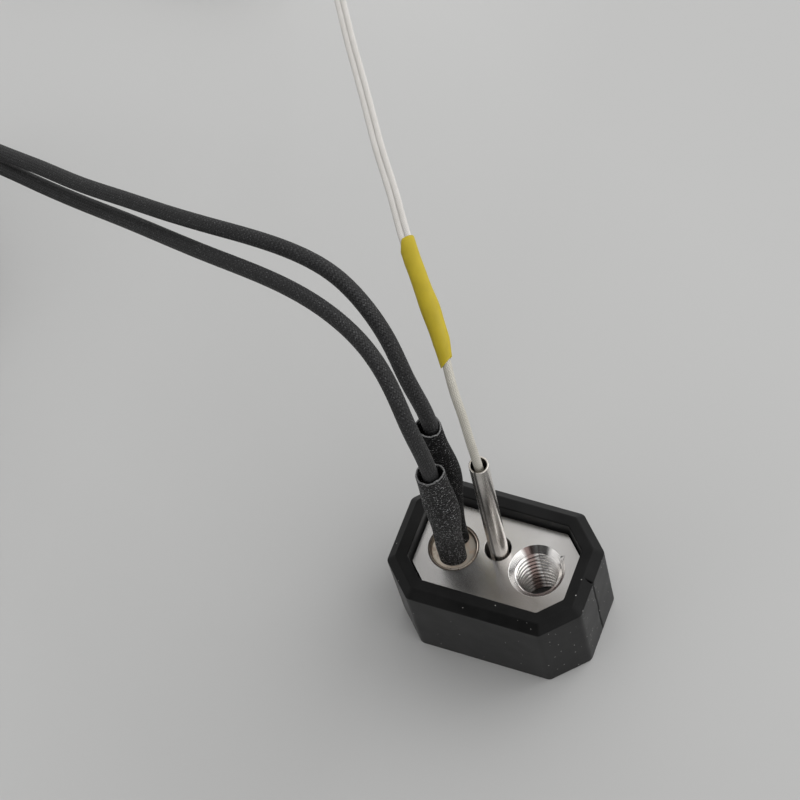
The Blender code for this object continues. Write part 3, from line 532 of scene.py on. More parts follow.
def plated_finish(looks):
    """Satin plating with painted dark reflections: darker in an oval patch in front and towards the
    right-hand end.
    """
    made = Finish("plated_metal", looks.color, looks.roughness, 1.0)
    place = made.spot()
    cloud = made.noise(place, 320.0, 3.0)
    # Painted reflection: this dark colour stands in for dark things mirrored in the block's top
    reflected_shade = shaded(looks.color, 0.4, 0.385, 0.37)
    base = made.mix(made.span(cloud, 0.3, 0.75), looks.color, shaded(looks.color, 0.93))
    # Painted reflection, darker towards the right-hand end
    end = made.span(made.split(place)[0], 5.5 * MM, 9 * MM, 0.0, 0.35)
    base = made.mix(end, base, reflected_shade)
    # Painted reflection in an oval patch in front
    oval = made.spot((0.45, 1, 0), (-2.0 * MM, 4.4 * MM, 0))
    away = made.node("VectorMath", {0: oval}, "Value", operation="LENGTH")
    away = made.calc("ADD", away, made.span(cloud, *CLOUD, -0.3 * MM, 0.3 * MM))
    made.paint(made.mix(made.span(away, 1.1 * MM, 4.4 * MM, 1.0, 0.0), base, reflected_shade))
    made.gloss(made.span(cloud, *CLOUD, looks.roughness - 0.02, looks.roughness + 0.03))
    made.relief(made.noise(place, 9000.0, 2.0), 0.0015 * MM, 0.4)
    return made.material


def turned_finish(looks):
    """Bright machined metal with fine rings left by the tool, and two painted dark reflections down
    the hole's wall, each given by its way out of the hole and by how narrow it is."""
    base = shaded(looks.color, 1.5)
    made = Finish("turned_metal", base, 0.16, 0.96)
    place = made.spot()
    around = made.node("VectorMath", {0: made.spot((1, 1, 0), -THREAD_AXIS)},
                       operation="NORMALIZE")
    # Painted reflections: two reddish dark stripes down the threaded hole's wall
    for way, low, high in (((-0.62, 0.78, 0), 0.955, 0.99), ((-0.27, 0.96, 0), 0.996, 0.999)):
        base = made.mix(made.span(made.dot(around, way), low, high), base, tone(140, 122, 118))
    made.paint(base)
    made.gloss(made.span(made.noise(place, 700.0, 2.0), *CLOUD, 0.12, 0.2))
    rings = made.node("TexWave", {"Vector": place, "Scale": 2600.0, "Distortion": 1.2,
                                  "Detail": 1.0}, 1, bands_direction="Z")
    made.relief(rings, 0.006 * MM, 0.5)
    return made.material


def steel_finish(name, color, roughness, tint=None, tint_from=0.0, dark_reflection=None):
    """Drawn steel with fine lines along it; tint is its heat colour above a height. A dark
    reflection is a painted dark line along the piece that stands in for a reflection, at a share
    of the way round and with half its width as such a share."""
    made = Finish(name, color, roughness, 1.0)
    lines = made.noise(made.spot((2600, 2600, 90)), 1.0, 4.0, 0.6)
    cloud = made.noise(made.spot(), 480.0, 3.0)
    base = made.mix(made.span(cloud, *CLOUD), color, shaded(color, 0.82))
    if tint:
        height = made.split(made.spot())[2]
        share = made.span(height, tint_from, tint_from + 0.5 * MM)
        share = made.calc("MULTIPLY", share, made.span(cloud, 0.25, 0.6, 0.4, 1.0))
        base = made.mix(share, base, tint)
    if dark_reflection:
        middle, half = dark_reflection
        away = made.calc("ABSOLUTE", made.calc("SUBTRACT", made.round_and_along()[0], middle))
        base = made.mix(made.span(lines, 0.35, 0.6, 0.2, 0.0), base, shaded(color, 0.45))
        # Painted reflection: a near-black line along the tube's side
        reflection_line = made.span(away, half * 0.6, half * 1.3, 0.8, 0.0)
        base = made.mix(reflection_line, base, tone(30, 29, 28))
    made.paint(base)
    made.gloss(made.calc("ADD", made.span(lines, *CLOUD, -0.05, 0.07), roughness))
    made.relief(lines, 0.004 * MM, 0.5)
    return made.material


def ceramic_finish(color):
    """Fired ceramic, clouded and coarse."""
    made = Finish("ceramic", color, 0.75)
    place = made.spot()
    made.paint(made.mix(made.span(made.noise(place, 900.0, 4.0), *CLOUD), color,
                        shaded(color, 0.7)))
    made.relief(made.noise(place, 6000.0, 2.0), 0.03 * MM, 0.6)
    return made.material


def seal_finish(color):
    """Ceramic cement with painted light and shade: paler towards the left and darker and browner
    towards the right, with brown spots.
    """
    made = Finish("heater_seal", color, 0.7)
    place = made.spot(shift=-HEATER_AXIS)
    # Painted light and shade: lit paler on the left and shaded darker on the right
    rightwards = made.dot(place, (0.8, 0.6, 0))
    base = made.mix(made.span(rightwards, -1.5 * MM, 1.5 * MM), shaded(color, 1.6),
                    shaded(color, 0.75))
    spots = made.span(made.noise(place, 900.0, 4.0), 0.52, 0.7, 0.0, 0.8)
    made.paint(made.mix(spots, base, shaded(color, 0.8, 0.62, 0.5)))
    made.relief(made.noise(place, 6000.0, 2.0), 0.03 * MM, 0.6)
    return made.material


def braided_finish(name, color, dark, strands, lay, depth, roughness, painted_glint=None, glint_level=0.6,
                   rows=0.0, **levels):
    """Braided fibre: the crowns of its strands are lighter and the gaps between them darker, as
    painted shade, and fine fibres run through them. Where a noise of the strands' size passes the
    glint level, the crowns get a painted glint in its colour. Knitted rows are a sine of the place
    along, bent by noise, of the given spacing in millimetres."""
    made = Finish(name, color, roughness, **levels)
    place = made.spot()
    height = made.braid(strands, lay)
    if rows:
        along = made.round_and_along()[1]
        bent = made.calc("MULTIPLY_ADD", along, 2 * math.pi / rows,
                         made.span(made.noise(place, 900.0, 2.0), 0.0, 1.0, 0.0, 14.0))
        row = made.calc("MULTIPLY_ADD", made.calc("SINE", bent), 0.5, 0.5)
        height = made.calc("MULTIPLY_ADD", row, 0.65, made.calc("MULTIPLY", height, 0.35))
    fibres = made.noise(place, 7000.0, 3.0)
    cloud = made.noise(place, 350.0, 3.0)
    # Painted shade: the gaps between the strands take the dark colour
    base = made.mix(made.span(height, 0.15, 0.85), dark, color)
    # A random cloud darkens the braid towards the same dark colour
    base = made.mix(made.span(cloud, *CLOUD, 0.0, 0.3), base, dark)
    if painted_glint:
        # Painted glints: light specks on the crowns
        glints = made.span(made.noise(place, 6200.0, 1.0), glint_level, glint_level + 0.1)
        base = made.mix(made.calc("MULTIPLY", glints, made.span(height, 0.3, 0.8)), base, painted_glint)
    made.paint(base)
    made.gloss(made.calc("ADD", made.span(fibres, *CLOUD, -0.08, 0.08), roughness))
    made.relief(made.calc("ADD", height, made.calc("MULTIPLY", fibres, 0.35)), depth)
    return made.material


def shrink_finish(color):
    """Thin glossy plastic that lets some light through, clouded and finely wrinkled."""
    made = Finish("yellow_heat_shrink", color, 0.45, Coat_Weight=0.08, Coat_Roughness=0.35,
                  Specular_IOR_Level=0.3, Subsurface_Weight=0.4, Subsurface_Scale=0.6 * MM,
                  Subsurface_Radius=(1.0, 1.0, 0.6))
    cloud = made.noise(made.spot(), 420.0, 3.0)
    made.paint(made.mix(made.span(cloud, *CLOUD), color, shaded(color, 0.86)))
    made.gloss(made.span(cloud, *CLOUD, 0.4, 0.54))
    made.relief(made.noise(made.spot((1600, 1600, 1600)), 1.0, 2.0), 0.03 * MM, 0.5)
    return made.material


def moulded_finish(name, color):
    """Moulded plastic with a faint cloud and a fine grain."""
    made = Finish(name, color, 0.42)
    place = made.spot()
    cloud = made.noise(place, 180.0, 3.0)
    made.paint(made.mix(made.span(cloud, *CLOUD), color, shaded(color, 0.9)))
    made.gloss(made.span(cloud, *CLOUD, 0.37, 0.52))
    made.relief(made.noise(place, 3500.0, 2.0), 0.01 * MM, 0.5)
    return made.material


FINISHES = {}


def finish(name):
    """The named finish, made once from the colours in the scene's settings."""
    if name in FINISHES:
        return FINISHES[name]
    scene = bpy.context.scene
    metal, cords, sensor = scene.hotend_metal, scene.hotend_cords, scene.hotend_sensor
    knit = {"strands": 22, "lay": 11.0, "depth": 0.2 * MM, "rows": 0.42}
    makers = {
        "silicone": lambda: silicone_finish(scene.hotend_sock),
        "plated": lambda: plated_finish(metal),
        "machined": lambda: turned_finish(metal),
        "sheath": lambda: steel_finish("heater_sheath_steel", metal.steel, 0.3,
                                       tone(172, 158, 144), SHEATH_HIGH[2] - 0.6 * MM),
        "tube": lambda: steel_finish("sensor_tube_steel", metal.steel, 0.24,
                                     dark_reflection=(0.24, 0.022)),
        "dark_steel": lambda: steel_finish("black_oxide_steel", tone(58, 58, 60), 0.38),
        "resistance": lambda: steel_finish("resistance_wire", tone(140, 132, 124), 0.35),
        "tin": lambda: steel_finish("tinned_metal", tone(205, 203, 200), 0.32),
        "seal": lambda: seal_finish(sensor.seal),
        "ceramic": lambda: ceramic_finish(sensor.seal),
        # The front sleeve's pale colour is its painted glint
        "sleeving": lambda: braided_finish(
            "black_glass_sleeving", cords.sleeving, tone(2, 2, 2), **knit, roughness=0.6,
            painted_glint=tone(200, 200, 200), glint_level=0.58, Specular_IOR_Level=0.3),
        # A darker copy of the sleeving as painted shade for the rear sleeve, with dimmer painted
        # glints
        "shaded_sleeving": lambda: braided_finish(
            "black_glass_sleeving_shaded", tone(14, 14, 15), tone(1, 1, 1), **knit, roughness=0.7,
            painted_glint=tone(150, 150, 150), Specular_IOR_Level=0.2),
        "cut_edge": lambda: braided_finish(
            "sleeving_cut_edge", tone(140, 140, 140), tone(80, 80, 80), 26, 13.0, 0.02 * MM, 0.6),
        # The lead braid's last colour is its painted glint
        "braid": lambda: braided_finish(
            "black_lead_braid", cords.lead, tone(12, 12, 13), 16, 8.0, 0.06 * MM, 0.62,
            tone(90, 90, 91)),
        "cream": lambda: braided_finish(
            "cream_glass_sleeving", sensor.sleeve, tone(165, 160, 148), 12, 5.0, 0.025 * MM,
            0.65),
        "white_cord": lambda: braided_finish(
            "white_glass_insulation", cords.wire, tone(196, 192, 186), 12, 4.5, 0.018 * MM, 0.6,
            Subsurface_Weight=0.7, Subsurface_Scale=0.8 * MM, Subsurface_Radius=(1.0, 1.0, 1.0)),
        "shrink": lambda: shrink_finish(sensor.shrink),
        "grey_nylon": lambda: moulded_finish("grey_nylon", tone(105, 106, 109)),
        "white_nylon": lambda: moulded_finish("white_nylon", tone(222, 220, 212)),
    }
    FINISHES[name] = makers[name]()
    return FINISHES[name]


def place_piece(piece, body, slot, *nodes):
    """Says which body a piece rides on and hides the nodes it stands for. The slot is not used."""
    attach(piece, body)
    if nodes:
        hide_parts(*nodes)


def octagon_grid(grow, height, straight, fillet, steps=4):
    """Rows of points round the block's eight-cornered outline, one row for each grow and height.
    A row's corners move outwards by grow; each is rounded by a parabola of the fillet's size, and
    the straight runs are divided at the given shares of their length."""
    grow, height, fillet = (np.array(value, float) for value in (grow, height, fillet))
    leg = CORNER_LEG + grow * (2 - math.sqrt(2))
    x, y = BLOCK_HALF[0] + grow, BLOCK_HALF[1] + grow
    spots = np.stack([np.stack(pair, -1) for pair in (
        (x, y - leg), (x - leg, y), (leg - x, y), (-x, y - leg),
        (-x, leg - y), (leg - x, -y), (x - leg, -y), (x, leg - y))], 1)
    onward = unit(np.roll(spots, -1, 1) - spots)
    incoming = np.roll(onward, 1, 1)
    share = np.linspace(0, 1, steps + 1)[None, :, None]
    size = fillet[:, None, None]
    runs = []
    for k in range(8):
        spot, following = spots[:, [k]], spots[:, [(k + 1) % 8]]
        way = onward[:, [k]]
        arc = spot + size * (share**2 * way - (1 - share) ** 2 * incoming[:, [k]])
        start, stop = spot + size * way, following - size * way
        runs += [arc, start + (stop - start) * straight[k][None, :, None]]
    return raised(np.concatenate(runs, 1), height)


def raised(flat, height):
    """Rows of level points, each row given its own height."""
    return np.concatenate([flat, np.broadcast_to(height[:, None, None], (*flat.shape[:2], 1))], -1)


def sock_grid(looks):
    """The sock as one closed ring of rows: up the outer wall, over the chamfer and the rim, down
    the inner wall, across the floor to the nozzle's opening and back underneath. A floor row is
    the mix of the outline and of the opening's circle. A fine parting line is pressed in down the
    middle of the right-hand end, as deep as a bell curve of the distance from it."""
    inside = 0.2 * MM  # the room left round the block
    outside, rim = inside + looks.wall, SOCK_HIGH[2]
    bevel, floor = looks.rim_chamfer, looks.floor
    outer = rounded([(outside - 1.2 * MM, 0, 0), (outside, 0, 0.25 * MM),
                     (outside, rim - bevel, 0.14 * MM), (outside - bevel, rim, 0.12 * MM),
                     (inside, rim, 0.16 * MM), (inside, floor, 0.13 * MM),
                     (inside - 0.18 * MM, floor, 0)])
    longest_row, stretches = 0.5 * MM, []
    for first, second in zip(outer, outer[1:]):
        parts = max(1, round(float(np.linalg.norm(second - first)) / longest_row))
        share = np.linspace(0, 1, parts, endpoint=False)[:, None]
        stretches.append(first + (second - first) * share)
    outer = np.vstack(stretches + [outer[-1:]])
    mouth, flare = 4.3 * MM, 0.4 * MM
    circle = rounded([(mouth + flare, floor, 0), (mouth, floor, 0.12 * MM),
                      (mouth, 0, 0.12 * MM), (mouth + flare, 0, 0)])[1:-1]

    # Shares of each of the eight runs at which it gets a point, closer by the parting line
    columns = [np.linspace(0, 1, count + 1)[1:-1] for count in (14, 42, 14, 20) * 2]
    right_end = 7
    fine = np.array((0, 0.004, 0.008, 0.012, 0.017, 0.024, 0.036))
    clear = columns[right_end][np.abs(columns[right_end] - 0.5) > 0.05]
    columns[right_end] = np.unique(np.concatenate([clear, 0.5 + fine, 0.5 - fine]))
    columns = [np.concatenate([[0.012], values, [0.988]]) for values in columns]
    round_size = np.interp(outer[:, 0], (inside, outside), (0.22 * MM, 0.36 * MM))
    rows = octagon_grid(outer[:, 0], outer[:, 1], columns, round_size)

    slope = np.gradient(outer, axis=0)
    facing = unit(np.stack([slope[:, 1], -slope[:, 0]], -1))
    run = lengths_along(outer)[:, None] / MM
    wander = (0.05 * np.sin(0.9 * run) + 0.03 * np.sin(3.1 * run + 1)) * MM
    broken = 0.75 + 0.35 * np.sin(2.3 * run + 0.4) * np.sin(0.7 * run)
    reach = eased(outer[:, 1], 0.2 * MM, 0.6 * MM)
    reach *= eased(outer[:, 0], outside - 0.75 * bevel, outside - 0.4 * bevel)
    bell = np.exp(-(((rows[:, :, 1] - wander) / (0.1 * MM)) ** 2)) * (rows[:, :, 0] > 0)
    depth = looks.seam * broken * reach[:, None] * bell
    rows[:, :, 0] -= depth * facing[:, :1]
    rows[:, :, 2] -= depth * facing[:, 1:]

    around = np.arctan2(rows[0, :, 1], rows[0, :, 0] - THREAD_AXIS[0])
    level = np.stack([np.cos(around), np.sin(around)], -1)
    holes = raised(THREAD_AXIS[:2] + circle[:, 0, None, None] * level, circle[:, 1])
    shares = np.array((0.25, 0.5, 0.75))[:, None, None]
    inner_floor = rows[-1] * (1 - shares) + holes[0] * shares
    underside = holes[-1] * (1 - shares) + rows[0] * shares
    return np.concatenate([rows, inner_floor, holes, underside])


def thread_grid():
    """The M6 hole as a solid to take out: the radius is the larger of two cones, one at each
    mouth, and of the thread, whose groove is a wedge of the height's share of a pitch less the
    angle's share of a turn."""
    pitch, crests, grooves = 1.0 * MM, 2.5 * MM, 3.0 * MM
    flat, flank = 0.06, 0.32  # shares of the pitch: half the groove's bottom, and its side
    past, rows, sides = 0.4 * MM, 224, 96
    height = np.linspace(BLOCK_BOTTOM - past, BLOCK_TOP + past, rows)[:, None]
    angle = angles(sides)[None, :]
    phase = (height / pitch - angle / (2 * math.pi)) % 1
    wedge = 1 - np.clip((np.abs(phase - 0.5) - flat) / flank, 0, 1)
    thread = crests + (grooves - crests) * wedge
    upper = THREAD_MOUTHS[0] - (BLOCK_TOP - height)
    lower = THREAD_MOUTHS[1] - (height - BLOCK_BOTTOM)
    radius = np.maximum(np.maximum(thread, upper), lower)
    return np.stack([THREAD_AXIS[0] + radius * np.cos(angle),
                     THREAD_AXIS[1] + radius * np.sin(angle), height + 0 * angle], -1)


def make_block():
    """The block's outline raised through its height with a fine edge, less its five holes and a
    small nick at the threaded hole's mouth."""
    edge, past = 0.12 * MM, 0.5 * MM
    body = octagon_grid((-edge, 0, 0, -edge),
                        (BLOCK_BOTTOM, BLOCK_BOTTOM + edge, BLOCK_TOP - edge, BLOCK_TOP),
                        [np.array(())] * 8, (0.2 * MM,) * 4)
    block = Skin().add(body, caps=True).build("block_machined", finish("plated"),
                                              finish("machined"))
    cutters = [Skin().add(thread_grid(), caps=True).build("thread_cutter")]
    top = BLOCK_TOP + past
    for name, axis, radius, low, mouth in (
            ("heater_cutter", HEATER_AXIS, HEATER_BORE, BLOCK_BOTTOM - past, 0.08 * MM),
            ("sensor_cutter", SENSOR_BORE_AXIS, SENSOR_BORE, BLOCK_TOP - SENSOR_BORE_DEPTH,
             0.1 * MM)):
        profile = [(0, low), (radius, low), (radius, BLOCK_TOP - mouth),
                   (radius + mouth + past, top), (0, top)]
        cutters.append(turned(profile, axis, sides=96).build(name))
    for name, side in SCREWS:
        low, high = corners(name)
        middle = (low + high) / 2 * (1, 0, 1)
        inner = side * (low if side > 0 else high)[1] - 0.3 * MM
        outer = BLOCK_HALF[1] + past
        profile = [(0, inner), (SCREW_HOLE, inner), (SCREW_HOLE, outer), (0, outer)]
        cutters.append(turned(profile, middle, (0, side, 0), 48).build(f"{name}_cutter"))
    nick = mm([(0, -0.4), (0.05, -0.4), (0.55, 0.1), (0, 0.1)])
    beside = THREAD_AXIS + (2.42 * MM, 2.5 * MM, BLOCK_TOP)
    cutters.append(turned(nick, beside, sides=3).build("nick_cutter", smooth=False))
    cut(block, *cutters)

    # The plating is on the flat faces and in the bores, and the threaded hole is bare metal
    mesh = block.data
    middles, facings = (np.zeros(len(mesh.polygons) * 3) for _ in range(2))
    mesh.polygons.foreach_get("center", middles)
    mesh.polygons.foreach_get("normal", facings)
    middles, facings = middles.reshape(-1, 3), facings.reshape(-1, 3)
    spread = np.abs(middles[:, :2])
    on_outline = (spread > BLOCK_HALF - 0.02 * MM).any(1)
    on_outline |= spread.sum(1) > BLOCK_HALF.sum() - CORNER_LEG - 0.05 * MM
    plain = (np.abs(facings[:, 2]) > 0.999) | on_outline
    off_axis = np.hypot(*(middles - THREAD_AXIS)[:, :2].T)
    in_thread = (off_axis < THREAD_MOUTHS[0] + 0.05 * MM) & ~plain
    mesh.polygons.foreach_set("use_smooth", ~plain)
    mesh.polygons.foreach_set("material_index", in_thread.astype(np.int32))
    mesh.update()
    return block


def lead_path(end):
    """One heater lead's whole middle line: its route, its turns in the coil and its tail."""
    coil = coil_line(LEAD_COIL, 0.1)
    coil[:, 2] += (-0.5 if end == "front" else 0.5) * LEAD_COIL["pitch"]
    return smooth_line(np.vstack([LEAD_ROUTES[end], coil, LEAD_TAILS[end]]), LEAD_STEP)


def wire_paths(start):
    """The two sensor wires' middle lines from a length along the sensor's route: they lie side by
    side, turn to one above the other before the coil, and spread to the connector's pitch at its
    far side."""
    coil = coil_line(WIRE_COIL, 0.12)
    line = smooth_line(np.vstack([SENSOR_ROUTE[:-1], coil, WIRE_TAIL[1:]]))
    along = lengths_along(line)
    line, along = line[along >= start], along[along >= start]
    across, up = side_frames(line)
    twisted = eased(along, *TWIST_REACH)
    flat_again = 1 - eased(along[-1] - along, 3.5 * MM, 15.5 * MM)
    turn = (math.pi / 2 * twisted * (1 - flat_again))[:, None]
    half = WIRE_HALF + (WIRE_COIL["pitch"] / 2 - WIRE_HALF) * twisted
    half = (half + (PLUG_HALF - half) * flat_again)[:, None]
    way = across * np.cos(turn) + up * np.sin(turn)
    return {"left": line - half * way, "right": line + half * way}


def make_cord(name, path, width, finish_name, lean, spacing, change, sides, bulge=1.0):
    """A section carried along a line: at each point the line plus half the width times the
    angle's cosine across and its sine up, both squared by the bulge. The rings are closer up to
    the length where the spacing changes. Gives the piece and the line it follows."""
    line, at = thinned(path, *spacing, change)
    across, up = side_frames(line, lean)
    level, rise = squared(angles(sides)[None, :, None], bulge)
    grid = line[:, None] + width / 2 * (across[:, None] * level + up[:, None] * rise)
    return Skin().add(grid, caps=True, along=at / MM).build(name, finish(finish_name)), line


def out_and_back(count, wall):
    """For a tube's rows up its outside and down its inside: the share of the way up, and how far
    in from the outside."""
    climb = np.linspace(0, 1, count)
    share = np.concatenate([climb, climb[::-1]])[:, None]
    return share, np.repeat((0.0, wall), count)[:, None]


def size_of(name, description, default):
    return bpy.props.FloatProperty(name=name, description=description, default=default,
                                   unit="LENGTH", precision=5)


def color_of(name, description, *levels):
    return bpy.props.FloatVectorProperty(name=name, description=description, size=3, min=0,
                                         max=1, default=tone(*levels), subtype="COLOR")


def amount_of(name, description, default, **limits):
    return bpy.props.FloatProperty(name=name, description=description, default=default, min=0,
                                   **limits)


class HotendSock(bpy.types.PropertyGroup):
    wall: size_of("Wall", "Thickness of the sock's wall", 2.45 * MM)
    floor: size_of("Floor", "Thickness under the block", 1.5 * MM)
    rim_chamfer: size_of("Rim chamfer", "Size of the chamfer round the rim", 1.1 * MM)
    seam: size_of("Parting line", "Depth of the mould's parting line", 0.34 * MM)
    color: color_of("Silicone", "Colour of the sock", 13, 13, 13)
    roughness: amount_of("Roughness", "Roughness of the silicone", 0.48, max=1,
                         subtype="FACTOR")


class HotendMetal(bpy.types.PropertyGroup):
    color: color_of("Plating", "Colour of the block", 208, 206, 204)
    roughness: amount_of("Roughness", "Roughness of the block's faces", 0.24, max=1,
                         subtype="FACTOR")
    steel: color_of("Steel", "Colour of the sheath and the sensor's tube", 236, 231, 225)


class HotendCords(bpy.types.PropertyGroup):
    lead_width: size_of("Lead", "Diameter of a heater lead", 1.9 * MM)
    wire_width: size_of("Sensor wire", "Diameter of a sensor wire", 0.77 * MM)
    lead: color_of("Lead colour", "Colour of the leads' braid", 30, 30, 31)
    sleeving: color_of("Sleeving", "Colour of the front black sleeve", 34, 34, 35)
    wire: color_of("Wire colour", "Colour of the sensor wires", 222, 219, 215)


class HotendSensor(bpy.types.PropertyGroup):
    sleeve_width: size_of("Cream sleeve", "Diameter of the sensor's sleeve", 1.05 * MM)
    sleeve: color_of("Sleeve colour", "Colour of the sensor's sleeve", 214, 211, 201)
    shrink: color_of("Heat-shrink", "Colour of the heat-shrink", 196, 173, 34)
    seal: color_of("Seal", "Colour of the heater's end seal", 206, 196, 182)


class HotendStage(bpy.types.PropertyGroup):
    floor: color_of("Floor", "Colour of the floor", 206, 206, 205)
    key: amount_of("Key lamp", "Power of the large soft lamp", 1.2, unit="POWER")
    sky: amount_of("Sky", "Strength of the light from all round", 0.815)
    side: amount_of("Side light", "How much brighter the right-hand side is", 0.6)


class HOTEND_OT_camera(bpy.types.Operator):
    """Makes the camera that looks down at the block from its front right"""
    bl_idname = "hotend.camera"
    bl_label = "Camera"

    def execute(self, context):
        lens = bpy.data.cameras.new("view")
        lens.sensor_width = 36.0
        lens.lens = 136.34
        lens.clip_start, lens.clip_end = 0.01, 20.0
        camera = bpy.data.objects.new("view", lens)
        context.scene.collection.objects.link(camera)
        right = Vector((0.92520, 0.34956, -0.14768))
        up = Vector((-0.25065, 0.85513, 0.45378))
        turn = Matrix((right, up, right.cross(up))).transposed().to_4x4()
        camera.matrix_world = Matrix.Translation((0.087992, -0.126664, 0.342269)) @ turn
        context.scene.camera = camera
        return {"FINISHED"}


class HOTEND_OT_lead_ends(bpy.types.Operator):
    """Makes the crimped ferrule on each heater lead's far end"""
    bl_idname = "hotend.lead_ends"
    bl_label = "Lead ferrules"

    def execute(self, context):
        for end in ("front", "rear"):
            path = lead_path(end)
            back = round(4.0 * MM / LEAD_STEP)  # steps over which the end's direction is taken
            run = unit((path[-1] - path[-1 - back]) * (1, 1, 0))
            seat = path[-1] + run * 0.3 * MM
            collar = rounded([(0.85, 1.5, 0), (1.2, 1.5, 0.1), (1.5, 0.3, 0.15),
                              (1.5, -4.0, 0.12), (1.08, -4.0, 0.05), (1.08, 0, 0.02),
                              (0.85, 0, 0)]) * MM
            collar = turned(collar, seat, run, ring_shaped=True)
            collar = collar.build(f"lead_collar_{end}", finish("grey_nylon"))
            place_piece(collar, "block", "grey_nylon", f"ferrule_collar_{end}")
            tube = rounded([(0, 8.0, 0), (0.72, 8.0, 0.1), (0.75, 7.0, 0.1), (0.75, 0, 0.05),
                            (0, 0, 0)]) * MM
            tip, side, foot = tube[:4], tube[[4, -3]], tube[-2:]
            rows = np.linspace(0.0, 1.0, 30)[:, None]
            tube = np.vstack([tip, side[0] + (side[1] - side[0]) * rows, foot])
            barrel = turned(tube, seat, run, 48, ripple=self.crimped)
            barrel = barrel.build(f"lead_barrel_{end}", finish("tin"))
            place_piece(barrel, "block", "tinned_metal", f"ferrule_barrel_{end}")
        return {"FINISHED"}

    def crimped(self, radius, angle, height):
        """The barrel's radius less four dents, each a raised cosine of the angle and a bell of
        the height."""
        bell = np.exp(-(((height - 3.6 * MM) / (1.5 * MM)) ** 4))
        return radius * (1 - 0.12 * bell * (0.5 + 0.5 * np.cos(4 * angle)) ** 2)


class HOTEND_OT_heater_leads(bpy.types.Operator):
    """Makes the two black leads, from the sleeves to the coil and their ferrules"""
    bl_idname = "hotend.heater_leads"
    bl_label = "Heater leads"

    def execute(self, context):
        width = context.scene.hotend_cords.lead_width
        for end in ("front", "rear"):
            piece, line = make_cord(f"lead_{end}", lead_path(end), width, "braid",
                                    (-0.9, 0.42, 0), (0.4 * MM, 1.1 * MM), 165 * MM, 20)
            nodes = [f"heater_lead_{end}", f"lead_tail_{end}"]
            nodes += ["lead_coil"] if end == "front" else []
            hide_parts(*nodes)
            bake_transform(piece)
        return {"FINISHED"}


class HOTEND_OT_connector(bpy.types.Operator):
    """Makes the two-way connector housing on the sensor wires' ends"""
    bl_idname = "hotend.connector"
    bl_label = "Connector"

    def execute(self, context):
        end = WIRE_TAIL[-1]
        ahead = unit((end - WIRE_TAIL[-2]) * (1, 1, 0))
        side = np.array((-ahead[1], ahead[0], 0))
        middle = end + ahead * 3.5 * MM
        middle[2] = 2.9 * MM
        self.housing(middle, ahead, side)
        return {"FINISHED"}

    def housing(self, middle, ahead, side):
        """A squared ring of the angle carried ahead over stations of length, half width and half
        height, less a square slot for each terminal."""
        stations = mm((
            (-5.5, 3.3, 2.6), (-5.35, 3.6, 2.8), (-5.0, 3.75, 2.9), (-2.2, 3.75, 2.9),
            (-2.0, 3.5, 2.65), (1.4, 3.5, 2.65), (1.6, 3.75, 2.9), (5.1, 3.75, 2.9),
            (5.4, 3.6, 2.75), (5.5, 3.4, 2.55)))
        level, upright = (ring[:, None] for ring in squared(angles(64), 0.22))
        grid = (middle + stations[:, :1, None] * ahead + stations[:, 1:2, None] * level * side
                + stations[:, 2:3, None] * upright * UPWARD)
        housing = Skin().add(grid, caps=True).build("plug_housing", finish("white_nylon"))
        ring = mm(((1, 1), (-1, 1), (-1, -1), (1, -1))) * 0.95
        reach, cutters = ahead * 7 * MM, []
        for shift in (PLUG_HALF, -PLUG_HALF):
            square = ring[:, :1] * side + ring[:, 1:] * UPWARD + middle + side * shift
            slot = Skin().add(np.stack([square - reach, square + reach]), caps=True)
            cutters.append(slot.build("slot_cutter", smooth=False))
        cut(housing, *cutters)
        place_piece(housing, "block", "white_nylon", "connector_housing")


class HOTEND_OT_sensor_wires(bpy.types.Operator):
    """Makes the two white sensor wires, from the heat-shrink to the coil and the connector"""
    bl_idname = "hotend.sensor_wires"
    bl_label = "Sensor wires"

    def execute(self, context):
        width = context.scene.hotend_cords.wire_width
        paths = wire_paths(SHRINK_REACH[0] + 8.3 * MM)
        route = smooth_line(SENSOR_ROUTE)
        for end in ("left", "right"):
            piece, line = make_cord(f"wire_{end}", paths[end], width, "white_cord", None,
                                    (0.4 * MM, 0.4 * MM), 90 * MM, 16, 0.62)
            nodes = [f"sensor_wire_{end}", f"wire_tail_{end}"]
            nodes += ["wire_coil"] if end == "left" else []
            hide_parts(*nodes)
            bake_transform(piece)
        return {"FINISHED"}


